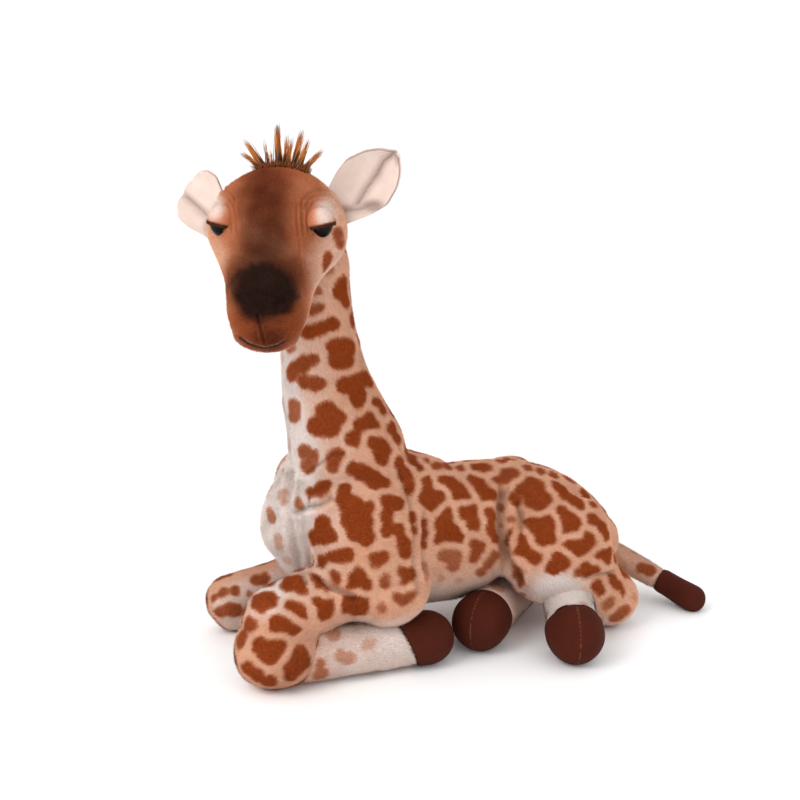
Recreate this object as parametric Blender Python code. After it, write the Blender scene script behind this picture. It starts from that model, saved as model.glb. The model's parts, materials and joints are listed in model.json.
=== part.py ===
"""Plush giraffe lying down with its head turned: sewn skins over stuffing.

Metres, +Z up. The giraffe faces -Y and its left side is +X. It is laid out from the ground
point midway between its two front knees, and at the end everything is moved so that the
origin is the bottom centre of the whole toy.
"""

import math
import random

import bmesh
import bpy
from mathutils import Matrix, Vector
from mathutils.bvhtree import BVHTree

# Cloth and clearances
skin_wall = 0.0020
seam_gap = 0.0003
swing_gap = 0.0008
neck_ease = 0.0014
belly_ease = 0.0025
tack_radius = 0.0012
tack_rise = 0.0040
tack_sides = 8
ground_flat = 0.0005
merge_distance = 0.00001
overrun = 0.0600

# Torso, from chest to rump
torso_length = 0.300
torso_start = 0.036
torso_width = 0.120
torso_height = 0.156
torso_level = 0.098

# Neck, rising out of the chest
neck_back = 0.092
neck_foot = 0.120
neck_rise = 0.200
neck_lean = 0.028
neck_depth = 0.106
neck_width = 0.092

# Head, turned to the left, laid out from the top of the neck
head_turned = math.radians(62.0)
head_ahead = 0.026
head_reach = 0.078
head_lift = 0.030
head_drop = 0.046
head_width = 0.106
head_height = 0.090
head_swing = (math.radians(-20.0), math.radians(20.0))

# Ears, the right one carried lower
ear_length = 0.066
ear_width = 0.046
ear_cup = 0.012
ear_root = 0.006
ear_thick = 0.0024
lining_thick = 0.0014
ear_raised = {"left": math.radians(42.0), "right": math.radians(28.0)}
ear_back = {"left": math.radians(10.0), "right": math.radians(55.0)}
ear_swing = (math.radians(-15.0), math.radians(15.0))

# Eyes, with their lids, stems and lock washers
eye_radius = 0.0105
eye_sink = 0.0045
stem_radius = 0.0022
stem_length = 0.0080
washer_radius = 0.0085
washer_thick = 0.0020
lid_thick = 0.0018

# Tuft of hair on the crown, and the thread of the mouth
tuft_width = 0.044
tuft_depth = 0.020
tuft_backing = 0.0040
tuft_hair = 0.032
tuft_fan = math.radians(32.0)
tuft_rows = 3
tuft_columns = 9
mouth_thread_radius = 0.0006

# Forelegs, each folded at the knee: the left one over its shank, the right one beside it
knee_spread = 0.057
knee_forward = {"left": 0.004, "right": 0.007}
knee_thick = {"left": 0.062, "right": 0.036}
knee_over = {"left": 0.0224, "right": 0.0095}
knee_cap = {"left": 0.0, "right": 0.008}
shoulder_spread = 0.038
shoulder_back = 0.078
shoulder_level = 0.130
elbow_back = 0.100
elbow_level = {"left": 0.068, "right": 0.036}
upper_thick = 0.082
forearm_thick = {"left": 0.056, "right": 0.041}
shank_length = 0.104
shank_thick = {"left": 0.046, "right": 0.038}
shank_out = {"left": 0.006, "right": -0.044}
# The swings that the rooms are cut for. The right shank's and the tail's joints stop sooner.
shank_swings = {"left": (math.radians(-16.0), 0.0), "right": (math.radians(-8.0), 0.0)}

# Haunches and hind legs, both hooves out to the left
haunch_spread = 0.050
haunch_back = 0.262
haunch_level = 0.120
haunch_depth = 0.104
haunch_width = 0.084
haunch_slide = 0.036
hind_thick = 0.048
near_hip_out = 0.048
near_hip_back = 0.264
near_hip_level = 0.052
near_leg_out = 0.050
near_leg_forward = 0.018
far_hip_out = -0.030
far_hip_back = 0.272
far_hip_level = 0.0235
far_leg_out = 0.070
far_leg_forward = 0.072
hind_swings = {
    "left": (math.radians(-6.0), math.radians(6.0)),
    "right": (0.0, math.radians(6.0)),
}

# Hooves, sewn on proud of the legs, the front ones on a slant
hoof_proud = 0.0010
hoof_lean = math.radians(22.0)

# Tail
tail_back = 0.318
tail_level = 0.050
tail_out = 0.058
tail_run_back = 0.068
tail_thick = 0.024
tail_swing = (0.0, math.radians(40.0))

# Shares of the named sizes, chosen by hand along each form
# torso: along its length, level of its middle, half width, half height
torso_shares = (
    (0.00, 1.22, 0.52, 0.46),
    (0.09, 1.13, 0.78, 0.76),
    (0.20, 1.07, 0.98, 0.86),
    (0.33, 0.95, 1.00, 0.83),
    (0.46, 0.87, 0.96, 0.76),
    (0.58, 0.92, 0.90, 0.63),
    (0.71, 0.91, 0.82, 0.56),
    (0.84, 0.74, 0.68, 0.49),
    (0.93, 0.57, 0.46, 0.33),
)
# neck: up its rise, forward by its lean, half width, half depth
neck_shares = (
    (0.00, 0.00, 1.00, 1.00),
    (0.22, 0.14, 0.96, 0.93),
    (0.35, 0.42, 0.84, 0.80),
    (0.47, 0.66, 0.75, 0.72),
    (0.63, 0.86, 0.67, 0.61),
    (0.82, 1.00, 0.63, 0.55),
    (1.00, 1.05, 0.61, 0.53),
)
# head: forward by its reach, up by its drop, half width, half height
head_shares = (
    (-0.26, 0.00, 0.66, 0.74),
    (0.00, 0.05, 0.92, 0.98),
    (0.24, -0.05, 1.00, 1.02),
    (0.50, -0.36, 0.80, 0.86),
    (0.70, -0.76, 0.62, 0.70),
    (0.88, -1.14, 0.56, 0.62),
    (1.00, -1.42, 0.46, 0.46),
)
# upper foreleg: from shoulder to elbow, half width, half depth
upper_shares = ((0.00, 0.80, 0.92), (0.50, 0.92, 1.12), (1.00, 0.80, 0.86))
# forearm: from elbow to knee, rise over the straight line, half width, half height
forearm_shares = (
    (0.00, 0.00, 1.04, 1.10),
    (0.36, 0.30, 0.90, 0.92),
    (0.70, 0.22, 0.94, 0.94),
    (0.94, 0.00, 1.04, 1.06),
)
# shank: along its length, thickness, lift for the proud hoof
shank_shares = (
    (0.30, 1.06, 0.0),
    (0.66, 0.95, 0.4),
    (1.00, 0.92, 1.0),
    (1.22, 0.92, 1.0),
)
# haunch: down its level, back by its slide, out by its spread, half width, half depth
haunch_shares = (
    (0.90, -0.44, 0.66, 0.52, 0.58),
    (0.74, -0.30, 0.86, 0.92, 0.96),
    (0.55, -0.02, 1.00, 1.00, 0.92),
    (0.33, 0.62, 1.10, 0.76, 0.60),
    (0.20, 1.18, 1.14, 0.56, 0.48),
)
# tail: out, back, level, thickness
tail_shares = (
    (0.00, 0.00, 1.00, 1.00),
    (0.14, 0.42, 0.68, 0.94),
    (0.48, 0.78, 0.38, 0.84),
    (1.00, 1.00, 0.210, 0.92),
)
# hind leg: along its reach, thickness, lift for the proud hoof
hind_shares = (
    (0.00, 1.00, 0.0),
    (0.40, 0.94, 0.0),
    (0.75, 0.88, 0.6),
    (1.00, 0.94, 1.0),
    (1.25, 0.96, 1.0),
)
# ear: along its length, half width
ear_shares = (
    (-0.10, 0.46),
    (0.08, 0.62),
    (0.30, 0.88),
    (0.52, 1.00),
    (0.74, 0.80),
    (0.90, 0.48),
    (0.98, 0.22),
)
ear_across_shares = (-1.0, -0.84, -0.42, 0.0, 0.42, 0.84, 1.0)
# seams and places along the forms, as shares of their spines
eye_share = 0.42
eye_turn = math.radians(53.0)
ear_share = 0.17
ear_turn = {"left": math.radians(74.0), "right": math.radians(98.0)}
tuft_share = 0.16
shank_seam_share = 0.78
hind_seam_shares = {"left": 0.66, "right": 0.84}
tail_seam_share = 0.66
eye_stem_share = 0.8
hair_length_shares = (0.60, 1.0)
# mouth: turned from the middle of the muzzle's end, bent from its rim, in degrees
mouth_turns = ((-57, 28), (-54, 48), (-38, 66), (0, 77), (38, 66), (54, 48), (57, 28))
round_share = 1.0
blunt_share = 0.55
lining_sides_share = 0.6


def clear_scene():
    for thing in list(bpy.data.objects):
        bpy.data.objects.remove(thing)


def material(name, colour, roughness, metallic=0.0):
    made = bpy.data.materials.new(name)
    made.use_nodes = True
    shader = made.node_tree.nodes["Principled BSDF"]
    shader.inputs["Base Color"].default_value = (*colour, 1.0)
    shader.inputs["Roughness"].default_value = roughness
    shader.inputs["Metallic"].default_value = metallic
    made.diffuse_color = (*colour, 1.0)
    return made


def finish(name, shell):
    """An object of this name from a bmesh, with smooth rounds and sharp rims."""
    mesh = bpy.data.meshes.new(name)
    shell.to_mesh(mesh)
    shell.free()
    mesh.shade_smooth()
    mesh.set_sharp_from_angle(angle=math.radians(50))
    made = bpy.data.objects.new(name, mesh)
    bpy.context.scene.collection.objects.link(made)
    return made


class Form:
    """Oval rings strung on a curved spine, rounded off at both ends."""

    def __init__(
        self,
        keys,
        up,
        sides=12,
        steps=1,
        domes=(round_share, round_share),
        inner=lining_sides_share,
    ):
        self.keys = [(Vector(place), wide, tall) for place, wide, tall in keys]
        self.up = Vector(up).normalized()
        self.sides = sides
        self.steps = steps
        self.domes = domes
        self.inner = inner

    def along_keys(self, column, share):
        """One column of the keys, read smoothly at a share of the spine."""
        values = [key[column] for key in self.keys]
        last = len(values) - 1
        place = share * last
        i = min(int(place), last - 1)
        f = place - i
        a, b = values[max(i - 1, 0)], values[i]
        c, d = values[i + 1], values[min(i + 2, last)]
        bend = (a * 2 - b * 5 + c * 4 - d) * (f * f / 2)
        twist = (b * 3 - c * 3 + d - a) * (f * f * f / 2)
        return b + (c - a) * (f / 2) + bend + twist

    def ring(self, share):
        """Centre, directions along, sideways and up, and the two half sizes."""
        step = 1 / (16 * len(self.keys))
        ahead = self.along_keys(0, min(share + step, 1.0))
        behind = self.along_keys(0, max(share - step, 0.0))
        along = (ahead - behind).normalized()
        sideways = along.cross(self.up).normalized()
        up = sideways.cross(along).normalized()
        centre = self.along_keys(0, share)
        return centre, along, sideways, up, self.along_keys(1, share), self.along_keys(2, share)

    def skin_point(self, share, turn, lift=0.0):
        """A point on the skin, lifted off it, and the direction out of it there."""
        centre, along, sideways, up, wide, tall = self.ring(share)
        out = (sideways * math.cos(turn) * tall + up * math.sin(turn) * wide).normalized()
        on = centre + sideways * wide * math.cos(turn) + up * tall * math.sin(turn)
        return on + out * lift, out

    def dome_point(self, turn, bend, lift=0.0):
        """A point on the end dome, bent from its rim towards its pole, and the way out."""
        centre, along, sideways, up, wide, tall = self.ring(1.0)
        length = self.domes[1] * min(wide, tall)
        across = sideways * math.cos(turn) * wide + up * math.sin(turn) * tall
        on = centre + across * math.cos(bend) + along * (length * math.sin(bend))
        out = across.normalized() * math.cos(bend) + along * math.sin(bend)
        return on + out * lift, out

    def rows(self, grow):
        """Every ring from end to end as centre, sideways, up, half sizes, and the two poles."""
        count = (len(self.keys) - 1) * (self.steps if grow >= 0 else 1)
        body = []
        for i in range(count + 1):
            centre, along, sideways, up, wide, tall = self.ring(i / count)
            body.append((centre, sideways, up, wide + grow, tall + grow))
        caps = []
        for share, sign, dome in ((0.0, -1, self.domes[0]), (1.0, 1, self.domes[1])):
            centre, along, sideways, up, wide, tall = self.ring(share)
            length = dome * min(wide, tall) + grow
            cap = []
            for bend in (math.radians(30), math.radians(60)):
                out = along * (sign * length * math.sin(bend))
                close = math.cos(bend)
                cap.append(
                    (centre + out, sideways, up, (wide + grow) * close, (tall + grow) * close)
                )
            caps.append((cap, centre + along * (sign * length)))
        start, end = caps
        return start[0][::-1] + body + end[0], start[1], end[1]

    def solid(self, name, grow=0.0, fan=None):
        """The closed shape as an object of this name."""
        return finish(name, self.shell(grow, fan))

    def point_over(self, place):
        """The point of the skin straight over a place inside."""
        shell = self.shell()
        tree = BVHTree.FromBMesh(shell)
        shell.free()
        return tree.ray_cast(place + sky * overrun, -sky)[0]

    def shell(self, grow=0.0, fan=None):
        """The closed shape, its rings grown by a length. The inner ones have fewer sides.

        A fan is a pivot and two angles: the two sides of the shape are turned about the
        upright line there, each to its own end, so that it covers the whole swing.
        """
        sides = self.sides if grow >= 0 else round(self.sides * self.inner)
        corners = []
        for i in range(sides):
            turn = 2 * math.pi * i / sides
            if fan and 4 * i in (sides, 3 * sides):
                first = 1 if 4 * i == sides else -1
                corners += [(turn, first), (turn, -first)]
            else:
                corners.append((turn, math.copysign(1, math.cos(turn))))
        sides = len(corners)
        rows, start_pole, end_pole = self.rows(grow)
        shell = bmesh.new()
        rings = []
        for centre, sideways, up, wide, tall in rows:
            ring = []
            for turn, side in corners:
                place = centre + sideways * wide * math.cos(turn) + up * tall * math.sin(turn)
                if fan and (centre - fan[0]).dot(fan[0] - start_pole) > merge_distance**2:
                    pivot, low_angle, high_angle = fan
                    angle = low_angle if side > 0 else high_angle
                    place = pivot + Matrix.Rotation(angle, 3, "Z") @ (place - pivot)
                ring.append(shell.verts.new(place))
            rings.append(ring)
        for low, high in zip(rings, rings[1:]):
            for i in range(sides):
                j = (i + 1) % sides
                shell.faces.new((low[i], low[j], high[j], high[i]))
        start, end = shell.verts.new(start_pole), shell.verts.new(end_pole)
        for i in range(sides):
            j = (i + 1) % sides
            shell.faces.new((rings[0][j], rings[0][i], start))
            shell.faces.new((rings[-1][i], rings[-1][j], end))
        bmesh.ops.remove_doubles(shell, verts=shell.verts, dist=merge_distance)
        bmesh.ops.triangulate(shell, faces=shell.faces, quad_method="FIXED")
        bmesh.ops.recalc_face_normals(shell, faces=shell.faces)
        return shell


def hide(tool):
    tool.hide_render = True
    tool.display_type = "WIRE"


def combine(piece, operation, tools):
    for tool in tools:
        hide(tool)
        modifier = piece.modifiers.new(tool.name, "BOOLEAN")
        modifier.operation = operation
        modifier.solver = "EXACT"
        modifier.object = tool


def cut(piece, *tools):
    combine(piece, "DIFFERENCE", tools)


def join(piece, *tools):
    combine(piece, "UNION", tools)


def turned(tool, pivot, axis, angle):
    """A copy of a tool, turned about a line."""
    turn = Matrix.Translation(pivot) @ Matrix.Rotation(angle, 4, axis)
    mesh = tool.data.copy()
    mesh.transform(turn @ Matrix.Translation(-Vector(pivot)))
    made = bpy.data.objects.new(tool.name + "_turned", mesh)
    bpy.context.scene.collection.objects.link(made)
    return made


def swept(block, pivot, span):
    """Copies of a block at both ends and the middle of a joint's span, about its axis."""
    low, high = span
    return [turned(block, pivot, "Z", angle) for angle in (low, (low + high) / 2, high)]


def box(name, low, high):
    shell = bmesh.new()
    bmesh.ops.create_cube(shell, size=1.0)
    size = Vector(high) - Vector(low)
    bmesh.ops.scale(shell, vec=size, verts=shell.verts)
    bmesh.ops.translate(shell, vec=(Vector(high) + Vector(low)) / 2, verts=shell.verts)
    return finish(name, shell)


# Where the pieces go
hands = {"left": 1, "right": -1}
sky = Vector((0, 0, 1))
ahead = Vector((0, -1, 0))
neck_top_lean = neck_shares[-1][1] * neck_lean
head_pivot = Vector((0.0, neck_back - neck_top_lean, neck_foot + neck_rise))
head_forward = Vector((math.sin(head_turned), -math.cos(head_turned), 0.0))
head_left = sky.cross(head_forward)
head_start = head_pivot + ahead * head_ahead + sky * head_lift
tail_root = Vector((0.0, tail_back, tail_level))
reach = 1.0


def torso_form():
    keys = []
    for along, level, wide, tall in torso_shares:
        place = (0.0, torso_start + along * torso_length, level * torso_level)
        keys.append((place, wide * torso_width / 2, tall * torso_height / 2))
    return Form(keys, up=sky, sides=16, domes=(blunt_share, round_share), inner=1.0)


def neck_form():
    keys = []
    for rise, lean, wide, deep in neck_shares:
        place = (0.0, neck_back - lean * neck_lean, neck_foot + rise * neck_rise)
        keys.append((place, wide * neck_width / 2, deep * neck_depth / 2))
    return Form(keys, up=ahead, sides=14, domes=(blunt_share, round_share))


def head_form():
    keys = []
    for forward, rise, wide, tall in head_shares:
        place = head_start + head_forward * (forward * head_reach) + sky * (rise * head_drop)
        keys.append((place, wide * head_width / 2, tall * head_height / 2))
    return Form(keys, up=sky, sides=16, steps=2, domes=(round_share, blunt_share))


def upper_foreleg_form(side):
    top = Vector((hands[side] * shoulder_spread, shoulder_back, shoulder_level))
    bottom = Vector((hands[side] * knee_spread, elbow_back, elbow_level[side]))
    keys = []
    for along, wide, deep in upper_shares:
        place = top.lerp(bottom, along)
        keys.append((place, wide * upper_thick / 2, deep * upper_thick / 2))
    return Form(keys, up=ahead)


def knee_place(side):
    level = knee_thick[side] / 2 - ground_flat
    return Vector((hands[side] * knee_spread, knee_forward[side], level))


def forearm_form(side):
    start = Vector((hands[side] * knee_spread, elbow_back, elbow_level[side]))
    knee = knee_place(side) + sky * knee_over[side] + ahead * knee_cap[side]
    keys = []
    for along, rise, wide, tall in forearm_shares:
        half = forearm_thick[side] / 2
        place = start.lerp(knee, along) + sky * (rise * half)
        keys.append((place, wide * half, tall * half))
    return Form(keys, up=sky)


def shank_form(side):
    knee = knee_place(side)
    half = knee_thick[side] / 2
    keys = [(knee, half, half)]
    for along, thick, lift in shank_shares:
        half = thick * shank_thick[side] / 2
        out = hands[side] * along * shank_out[side]
        level = half - ground_flat + lift * hoof_proud
        place = (knee.x + out, knee.y + along * shank_length, level)
        keys.append((place, half, half))
    return Form(keys, up=sky)


def haunch_form(side):
    keys = []
    for level, slide, out, wide, deep in haunch_shares:
        place = (
            hands[side] * out * haunch_spread,
            haunch_back + slide * haunch_slide,
            level * haunch_level,
        )
        keys.append((place, wide * haunch_width / 2, deep * haunch_depth / 2))
    return Form(keys, up=ahead)


hips = {
    "left": Vector((near_hip_out, near_hip_back, near_hip_level)),
    "right": Vector((far_hip_out, far_hip_back, far_hip_level)),
}
hind_reaches = {
    "left": Vector((near_leg_out, -near_leg_forward, 0.0)),
    "right": Vector((far_leg_out, -far_leg_forward, 0.0)),
}


def hind_leg_form(side):
    keys = []
    for along, thick, lift in hind_shares:
        half = thick * hind_thick / 2
        place = hips[side] + hind_reaches[side] * along
        down = min(along, 1.0)
        low = half - ground_flat + lift * hoof_proud
        place.z = hips[side].z * (1 - down) + low * down
        keys.append((place, half, half))
    return Form(keys, up=sky)


def tail_form():
    keys = []
    for out, back, level, thick in tail_shares:
        place = (out * tail_out, tail_back + back * tail_run_back, level * tail_level)
        keys.append((place, thick * tail_thick / 2, thick * tail_thick / 2))
    return Form(keys, up=sky)


def beyond(form, share, lean=0.0, keep_end=False):
    """A block over all of a form past a share of its spine, or over all before it."""
    centre, along, sideways, up, wide, tall = form.ring(share)
    low, high = (-overrun, 0.0, -2 * overrun), (overrun, 3 * overrun, 2 * overrun)
    block = box("seam_block", low, high)
    way = -along if keep_end else along
    turn = Matrix((sideways, way, sideways.cross(way))).transposed().to_4x4()
    lean = Matrix.Rotation(lean, 4, "X")
    start = centre - way * (seam_gap / 2)
    block.data.transform(Matrix.Translation(start) @ turn @ lean)
    return block


def skin(name, form, *extra):
    """The cloth of a form: its solid, hollowed by its own inside."""
    made = form.solid(name)
    join(made, *[more.solid(name + "_more") for more in extra])
    cut(made, *[each.solid(name + "_inside", -skin_wall) for each in (form, *extra)])
    return made


def filling(name, form, *extra):
    made = form.solid(name, -skin_wall - seam_gap)
    join(made, *[more.solid(name + "_more", -skin_wall - seam_gap) for more in extra])
    return made


def head_place(side, share, turn, lift=0.0):
    """A point on the head, the turn measured from its crown towards one side."""
    return head_form().skin_point(share, math.pi / 2 + hands[side] * turn, lift)


def ear_frame(side):
    """Where an ear is rooted, and its directions out, across and face."""
    root, out = head_place(side, ear_share, ear_turn[side], -ear_root)
    back, raised = ear_back[side], ear_raised[side]
    away = head_left * (hands[side] * math.cos(back)) - head_forward * math.sin(back)
    out = (away * math.cos(raised) + sky * math.sin(raised)).normalized()
    face = (head_forward - out * head_forward.dot(out)).normalized()
    return root, out, face.cross(out), face


def leaf(name, side, low, high, inset=0):
    """A curved leaf between two lifts off an ear's sheet, inset by some of its rows."""
    root, out, across, face = ear_frame(side)
    alongs = ear_shares[: len(ear_shares) - inset]
    overs = ear_across_shares[inset : len(ear_across_shares) - inset]
    shell = bmesh.new()
    sheets = []
    for lift in (low, high):
        sheet = []
        for along, wide in alongs:
            row = []
            for over in overs:
                place = root + out * (along * ear_length)
                place += across * (over * wide * ear_width / 2)
                place += face * (over * over * wide * ear_cup + lift)
                row.append(shell.verts.new(place))
            sheet.append(row)
        sheets.append(sheet)
    lower, upper = sheets
    last_row, last_column = len(alongs) - 1, len(overs) - 1
    for i in range(last_row):
        for j in range(last_column):
            for sheet in sheets:
                shell.faces.new(
                    (sheet[i][j], sheet[i][j + 1], sheet[i + 1][j + 1], sheet[i + 1][j])
                )
    rim = [(0, j) for j in range(last_column)]
    rim += [(i, last_column) for i in range(last_row)]
    rim += [(last_row, j) for j in range(last_column, 0, -1)]
    rim += [(i, 0) for i in range(last_row, 0, -1)]
    for (i, j), (k, m) in zip(rim, rim[1:] + rim[:1]):
        shell.faces.new((lower[i][j], lower[k][m], upper[k][m], upper[i][j]))
    bmesh.ops.recalc_face_normals(shell, faces=shell.faces)
    return finish(name, shell)


def ball(name, place, radius, rings=7):
    shell = bmesh.new()
    bmesh.ops.create_uvsphere(shell, u_segments=2 * rings, v_segments=rings, radius=radius)
    bmesh.ops.translate(shell, vec=place, verts=shell.verts)
    return finish(name, shell)


def rod(name, start, way, radius, length, sides=12):
    """A straight rod of one radius from a point along a direction."""
    shell = bmesh.new()
    bmesh.ops.create_cone(
        shell, cap_ends=True, segments=sides, radius1=radius, radius2=radius, depth=length
    )
    bmesh.ops.translate(shell, vec=sky * (length / 2), verts=shell.verts)
    turn = way.to_track_quat("Z", "Y").to_matrix().to_4x4()
    bmesh.ops.transform(shell, matrix=Matrix.Translation(start) @ turn, verts=shell.verts)
    return finish(name, shell)


def lid_block(place, out):
    """What is below the edge of an upper eyelid that is three fifths closed."""
    block = box("lid_block", (-overrun, -overrun, -2 * overrun), (overrun, overrun, 0))
    down = (sky - out * out.dot(sky)).normalized()
    turn = Matrix((out.cross(down), out, down)).transposed().to_4x4()
    block.data.transform(Matrix.Translation(place) @ turn)
    return block


def tuft_of_hair():
    """A curved strip of backing whose every top cell is drawn out into one strand."""
    chooser = random.Random(7)
    middle, out = head_form().skin_point(tuft_share, math.pi / 2)
    across, back = head_left, -head_forward
    shell = bmesh.new()

    def corner(row, column, lift):
        x = column / tuft_columns * tuft_width - tuft_width / 2
        y = row / tuft_rows * tuft_depth - tuft_depth / 2
        drop = (x * x + y * y) / head_width
        return middle + across * x + back * y + sky * (lift - drop)

    tops = [
        [shell.verts.new(corner(r, c, tuft_backing)) for c in range(tuft_columns + 1)]
        for r in range(tuft_rows + 1)
    ]
    for r in range(tuft_rows):
        for c in range(tuft_columns):
            cell = (tops[r][c], tops[r][c + 1], tops[r + 1][c + 1], tops[r + 1][c])
            root = sum((v.co for v in cell), Vector()) / 4
            fan = ((2 * c + 1) / tuft_columns - 1) * tuft_fan
            tip = ((2 * r + 1) / tuft_rows - 1) * tuft_fan / 2
            way = sky + across * math.tan(fan) + back * math.tan(tip)
            long = chooser.uniform(*hair_length_shares)
            apex = shell.verts.new(root + way.normalized() * (long * tuft_hair))
            for low, high in zip(cell, cell[1:] + cell[:1]):
                shell.faces.new((low, high, apex))
    rim = [(0, c) for c in range(tuft_columns)]
    rim += [(r, tuft_columns) for r in range(tuft_rows)]
    rim += [(tuft_rows, c) for c in range(tuft_columns, 0, -1)]
    rim += [(r, 0) for r in range(tuft_rows, 0, -1)]
    feet = [shell.verts.new(corner(r, c, -tuft_backing)) for r, c in rim]
    for i, (r, c) in enumerate(rim):
        j = (i + 1) % len(rim)
        shell.faces.new((tops[r][c], feet[i], feet[j], tops[rim[j][0]][rim[j][1]]))
    shell.faces.new(feet[::-1])
    bmesh.ops.recalc_face_normals(shell, faces=shell.faces)
    return finish("tuft", shell)


def mouth_thread():
    """The stitched line of the mouth, laid on the end of the muzzle as one thread."""
    form = head_form()
    curve = bpy.data.curves.new("mouth_thread", "CURVE")
    curve.dimensions = "3D"
    curve.bevel_depth = mouth_thread_radius
    curve.bevel_resolution = 1
    curve.use_fill_caps = True
    line = curve.splines.new("POLY")
    line.points.add(len(mouth_turns) - 1)
    lift = mouth_thread_radius + 2 * seam_gap
    for point, (turn, bend) in zip(line.points, mouth_turns):
        turn = math.pi / 2 + math.radians(turn)
        place, _ = form.dome_point(turn, math.radians(bend), lift)
        point.co = (*place, 1.0)
    made = bpy.data.objects.new("mouth_thread", curve)
    bpy.context.scene.collection.objects.link(made)
    return made


def empty(name, place, parent=None):
    made = bpy.data.objects.new(name, None)
    made.empty_display_size = skin_wall
    bpy.context.scene.collection.objects.link(made)
    made.matrix_world = Matrix.Translation(place)
    if parent:
        bpy.context.view_layer.update()
        made.parent = parent
        made.matrix_parent_inverse = parent.matrix_world.inverted()
    return made


def tool(form, grow=seam_gap, fan=None):
    """A form as a hidden block to cut others with."""
    made = form.solid("room", grow, fan)
    hide(made)
    return made


def tack(form, joint, grow=0.0):
    """A tack stitch on a joint's axis, from under the skin into the piece above it."""
    start = form.point_over(joint) - sky * (skin_wall / 2)
    length = skin_wall / 2 + tack_rise + grow
    return rod("tack", start, sky, tack_radius + grow, length, tack_sides)


def rooms_to_swing(form, span):
    """What a piece that turns about the root of its form needs cut out of the others."""
    root = form.keys[0][0]
    return [tool(form, hoof_proud + swing_gap, (root, *span)), tack(form, root, seam_gap)]


def leg_pieces(name, hoof_name, form, seam, lean=0.0):
    """The skin, stuffing and hoof of one lower leg, the hoof sewn on at a seam."""
    cloth = paint(skin(name + "_skin", form), "leg_cloth")
    join(cloth, tack(form, form.keys[0][0]))
    cut(cloth, beyond(form, seam, lean))
    hoof = paint(form.solid(hoof_name, hoof_proud), "hoof_velvet")
    cut(hoof, tool(form, -skin_wall), beyond(form, seam, lean, keep_end=True))
    stuffing = paint(filling(name + "_filling", form), "fibre")
    return [cloth, stuffing, hoof]


def paint(piece, slot):
    piece.data.materials.append(materials[slot])
    return piece


def neck_pieces():
    cloth = paint(skin("neck_skin", neck_form()), "coat_cloth")
    cut(cloth, tool(torso_form()))
    join(cloth, tack(neck_form(), head_pivot))
    stuffing = paint(filling("neck_filling", neck_form()), "fibre")
    cut(stuffing, tool(torso_form(), -skin_wall))
    return [cloth, stuffing]


def torso_pieces(tail_rooms):
    cloth = paint(skin("torso_skin", torso_form()), "coat_cloth")
    cut(cloth, tool(neck_form(), -skin_wall), *tail_rooms)
    stuffing = paint(filling("torso_filling", torso_form()), "fibre")
    cut(stuffing, *tail_rooms)
    return [cloth, stuffing]


def head_pieces():
    neck, head = tool(neck_form(), neck_ease), tool(head_form())
    hole = tack(neck_form(), head_pivot, seam_gap)
    cloth = paint(skin("head_skin", head_form()), "face_cloth")
    stuffing = paint(filling("head_filling", head_form()), "fibre")
    made = [cloth, stuffing]
    cut(cloth, neck, hole)
    cut(stuffing, neck, hole)
    for side in hands:
        place, out = head_place(side, eye_share, eye_turn, -eye_sink)
        hole = stem_radius + seam_gap
        eye = paint(ball("eye_" + side, place, eye_radius), "eye_plastic")
        start = place - out * (eye_radius * eye_stem_share)
        join(eye, rod("eye_stem", start, -out, stem_radius, stem_length))
        behind = place - out * (eye_radius + seam_gap)
        washer = rod(f"eye_{side}_washer", behind, -out, washer_radius, washer_thick, 16)
        paint(washer, "washer_plastic")
        cut(washer, rod("eye_hole", place, -out, hole, overrun))
        cut(cloth, ball("eye_room", place, eye_radius + seam_gap))
        room = eye_radius + washer_thick + 3 * seam_gap
        cut(stuffing, rod("washer_room", place, -out, washer_radius + 2 * seam_gap, room, 16))
        cut(stuffing, ball("eye_room", place, eye_radius + 2 * seam_gap))
        cut(stuffing, rod("stem_room", place, -out, hole, eye_radius + stem_length))
        inner = eye_radius + seam_gap
        lid = paint(ball("eyelid_" + side, place, inner + lid_thick), "lid_cloth")
        cut(lid, ball("eye_room", place, inner), lid_block(place, out), head)
        made += [eye, washer, lid]
    tuft = paint(tuft_of_hair(), "hair")
    cut(tuft, head)
    return made + [tuft, paint(mouth_thread(), "thread")]


def ear_pieces(side):
    root = ear_frame(side)[0]
    back = paint(leaf(f"ear_{side}_back", side, 0.0, ear_thick), "ear_cloth")
    low = ear_thick + seam_gap
    lining = leaf(f"ear_{side}_lining", side, low, low + lining_thick, inset=1)
    paint(lining, "ear_velvet")
    head = tool(head_form(), swing_gap)
    for turn in swept(head, root, ear_swing):
        cut(back, turn)
        cut(lining, turn)
    return [back, lining]


def foreleg_pieces(side, ground, shank_rooms):
    """The upper foreleg and forearm, one sewn tube, over the shank that folds beside it."""
    forms = (upper_foreleg_form(side), forearm_form(side))
    cloth = paint(skin(f"foreleg_{side}_skin", *forms), "coat_cloth")
    stuffing = paint(filling(f"foreleg_{side}_filling", *forms), "fibre")
    for piece in (cloth, stuffing):
        cut(piece, tool(torso_form()), tool(neck_form()), ground, *shank_rooms)
    return [cloth, stuffing]


def shank_pieces(side, ground):
    made = leg_pieces(
        f"shank_{side}", f"hoof_front_{side}", shank_form(side), shank_seam_share, hoof_lean
    )
    torso = tool(torso_form(), belly_ease)
    for piece in made:
        cut(piece, ground, torso)
    return made


def hind_leg_pieces(side, ground):
    made = leg_pieces(
        f"hind_leg_{side}", f"hoof_hind_{side}", hind_leg_form(side), hind_seam_shares[side]
    )
    torso = tool(torso_form(), belly_ease)
    for piece in made:
        cut(piece, ground, torso)
    return made


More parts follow.
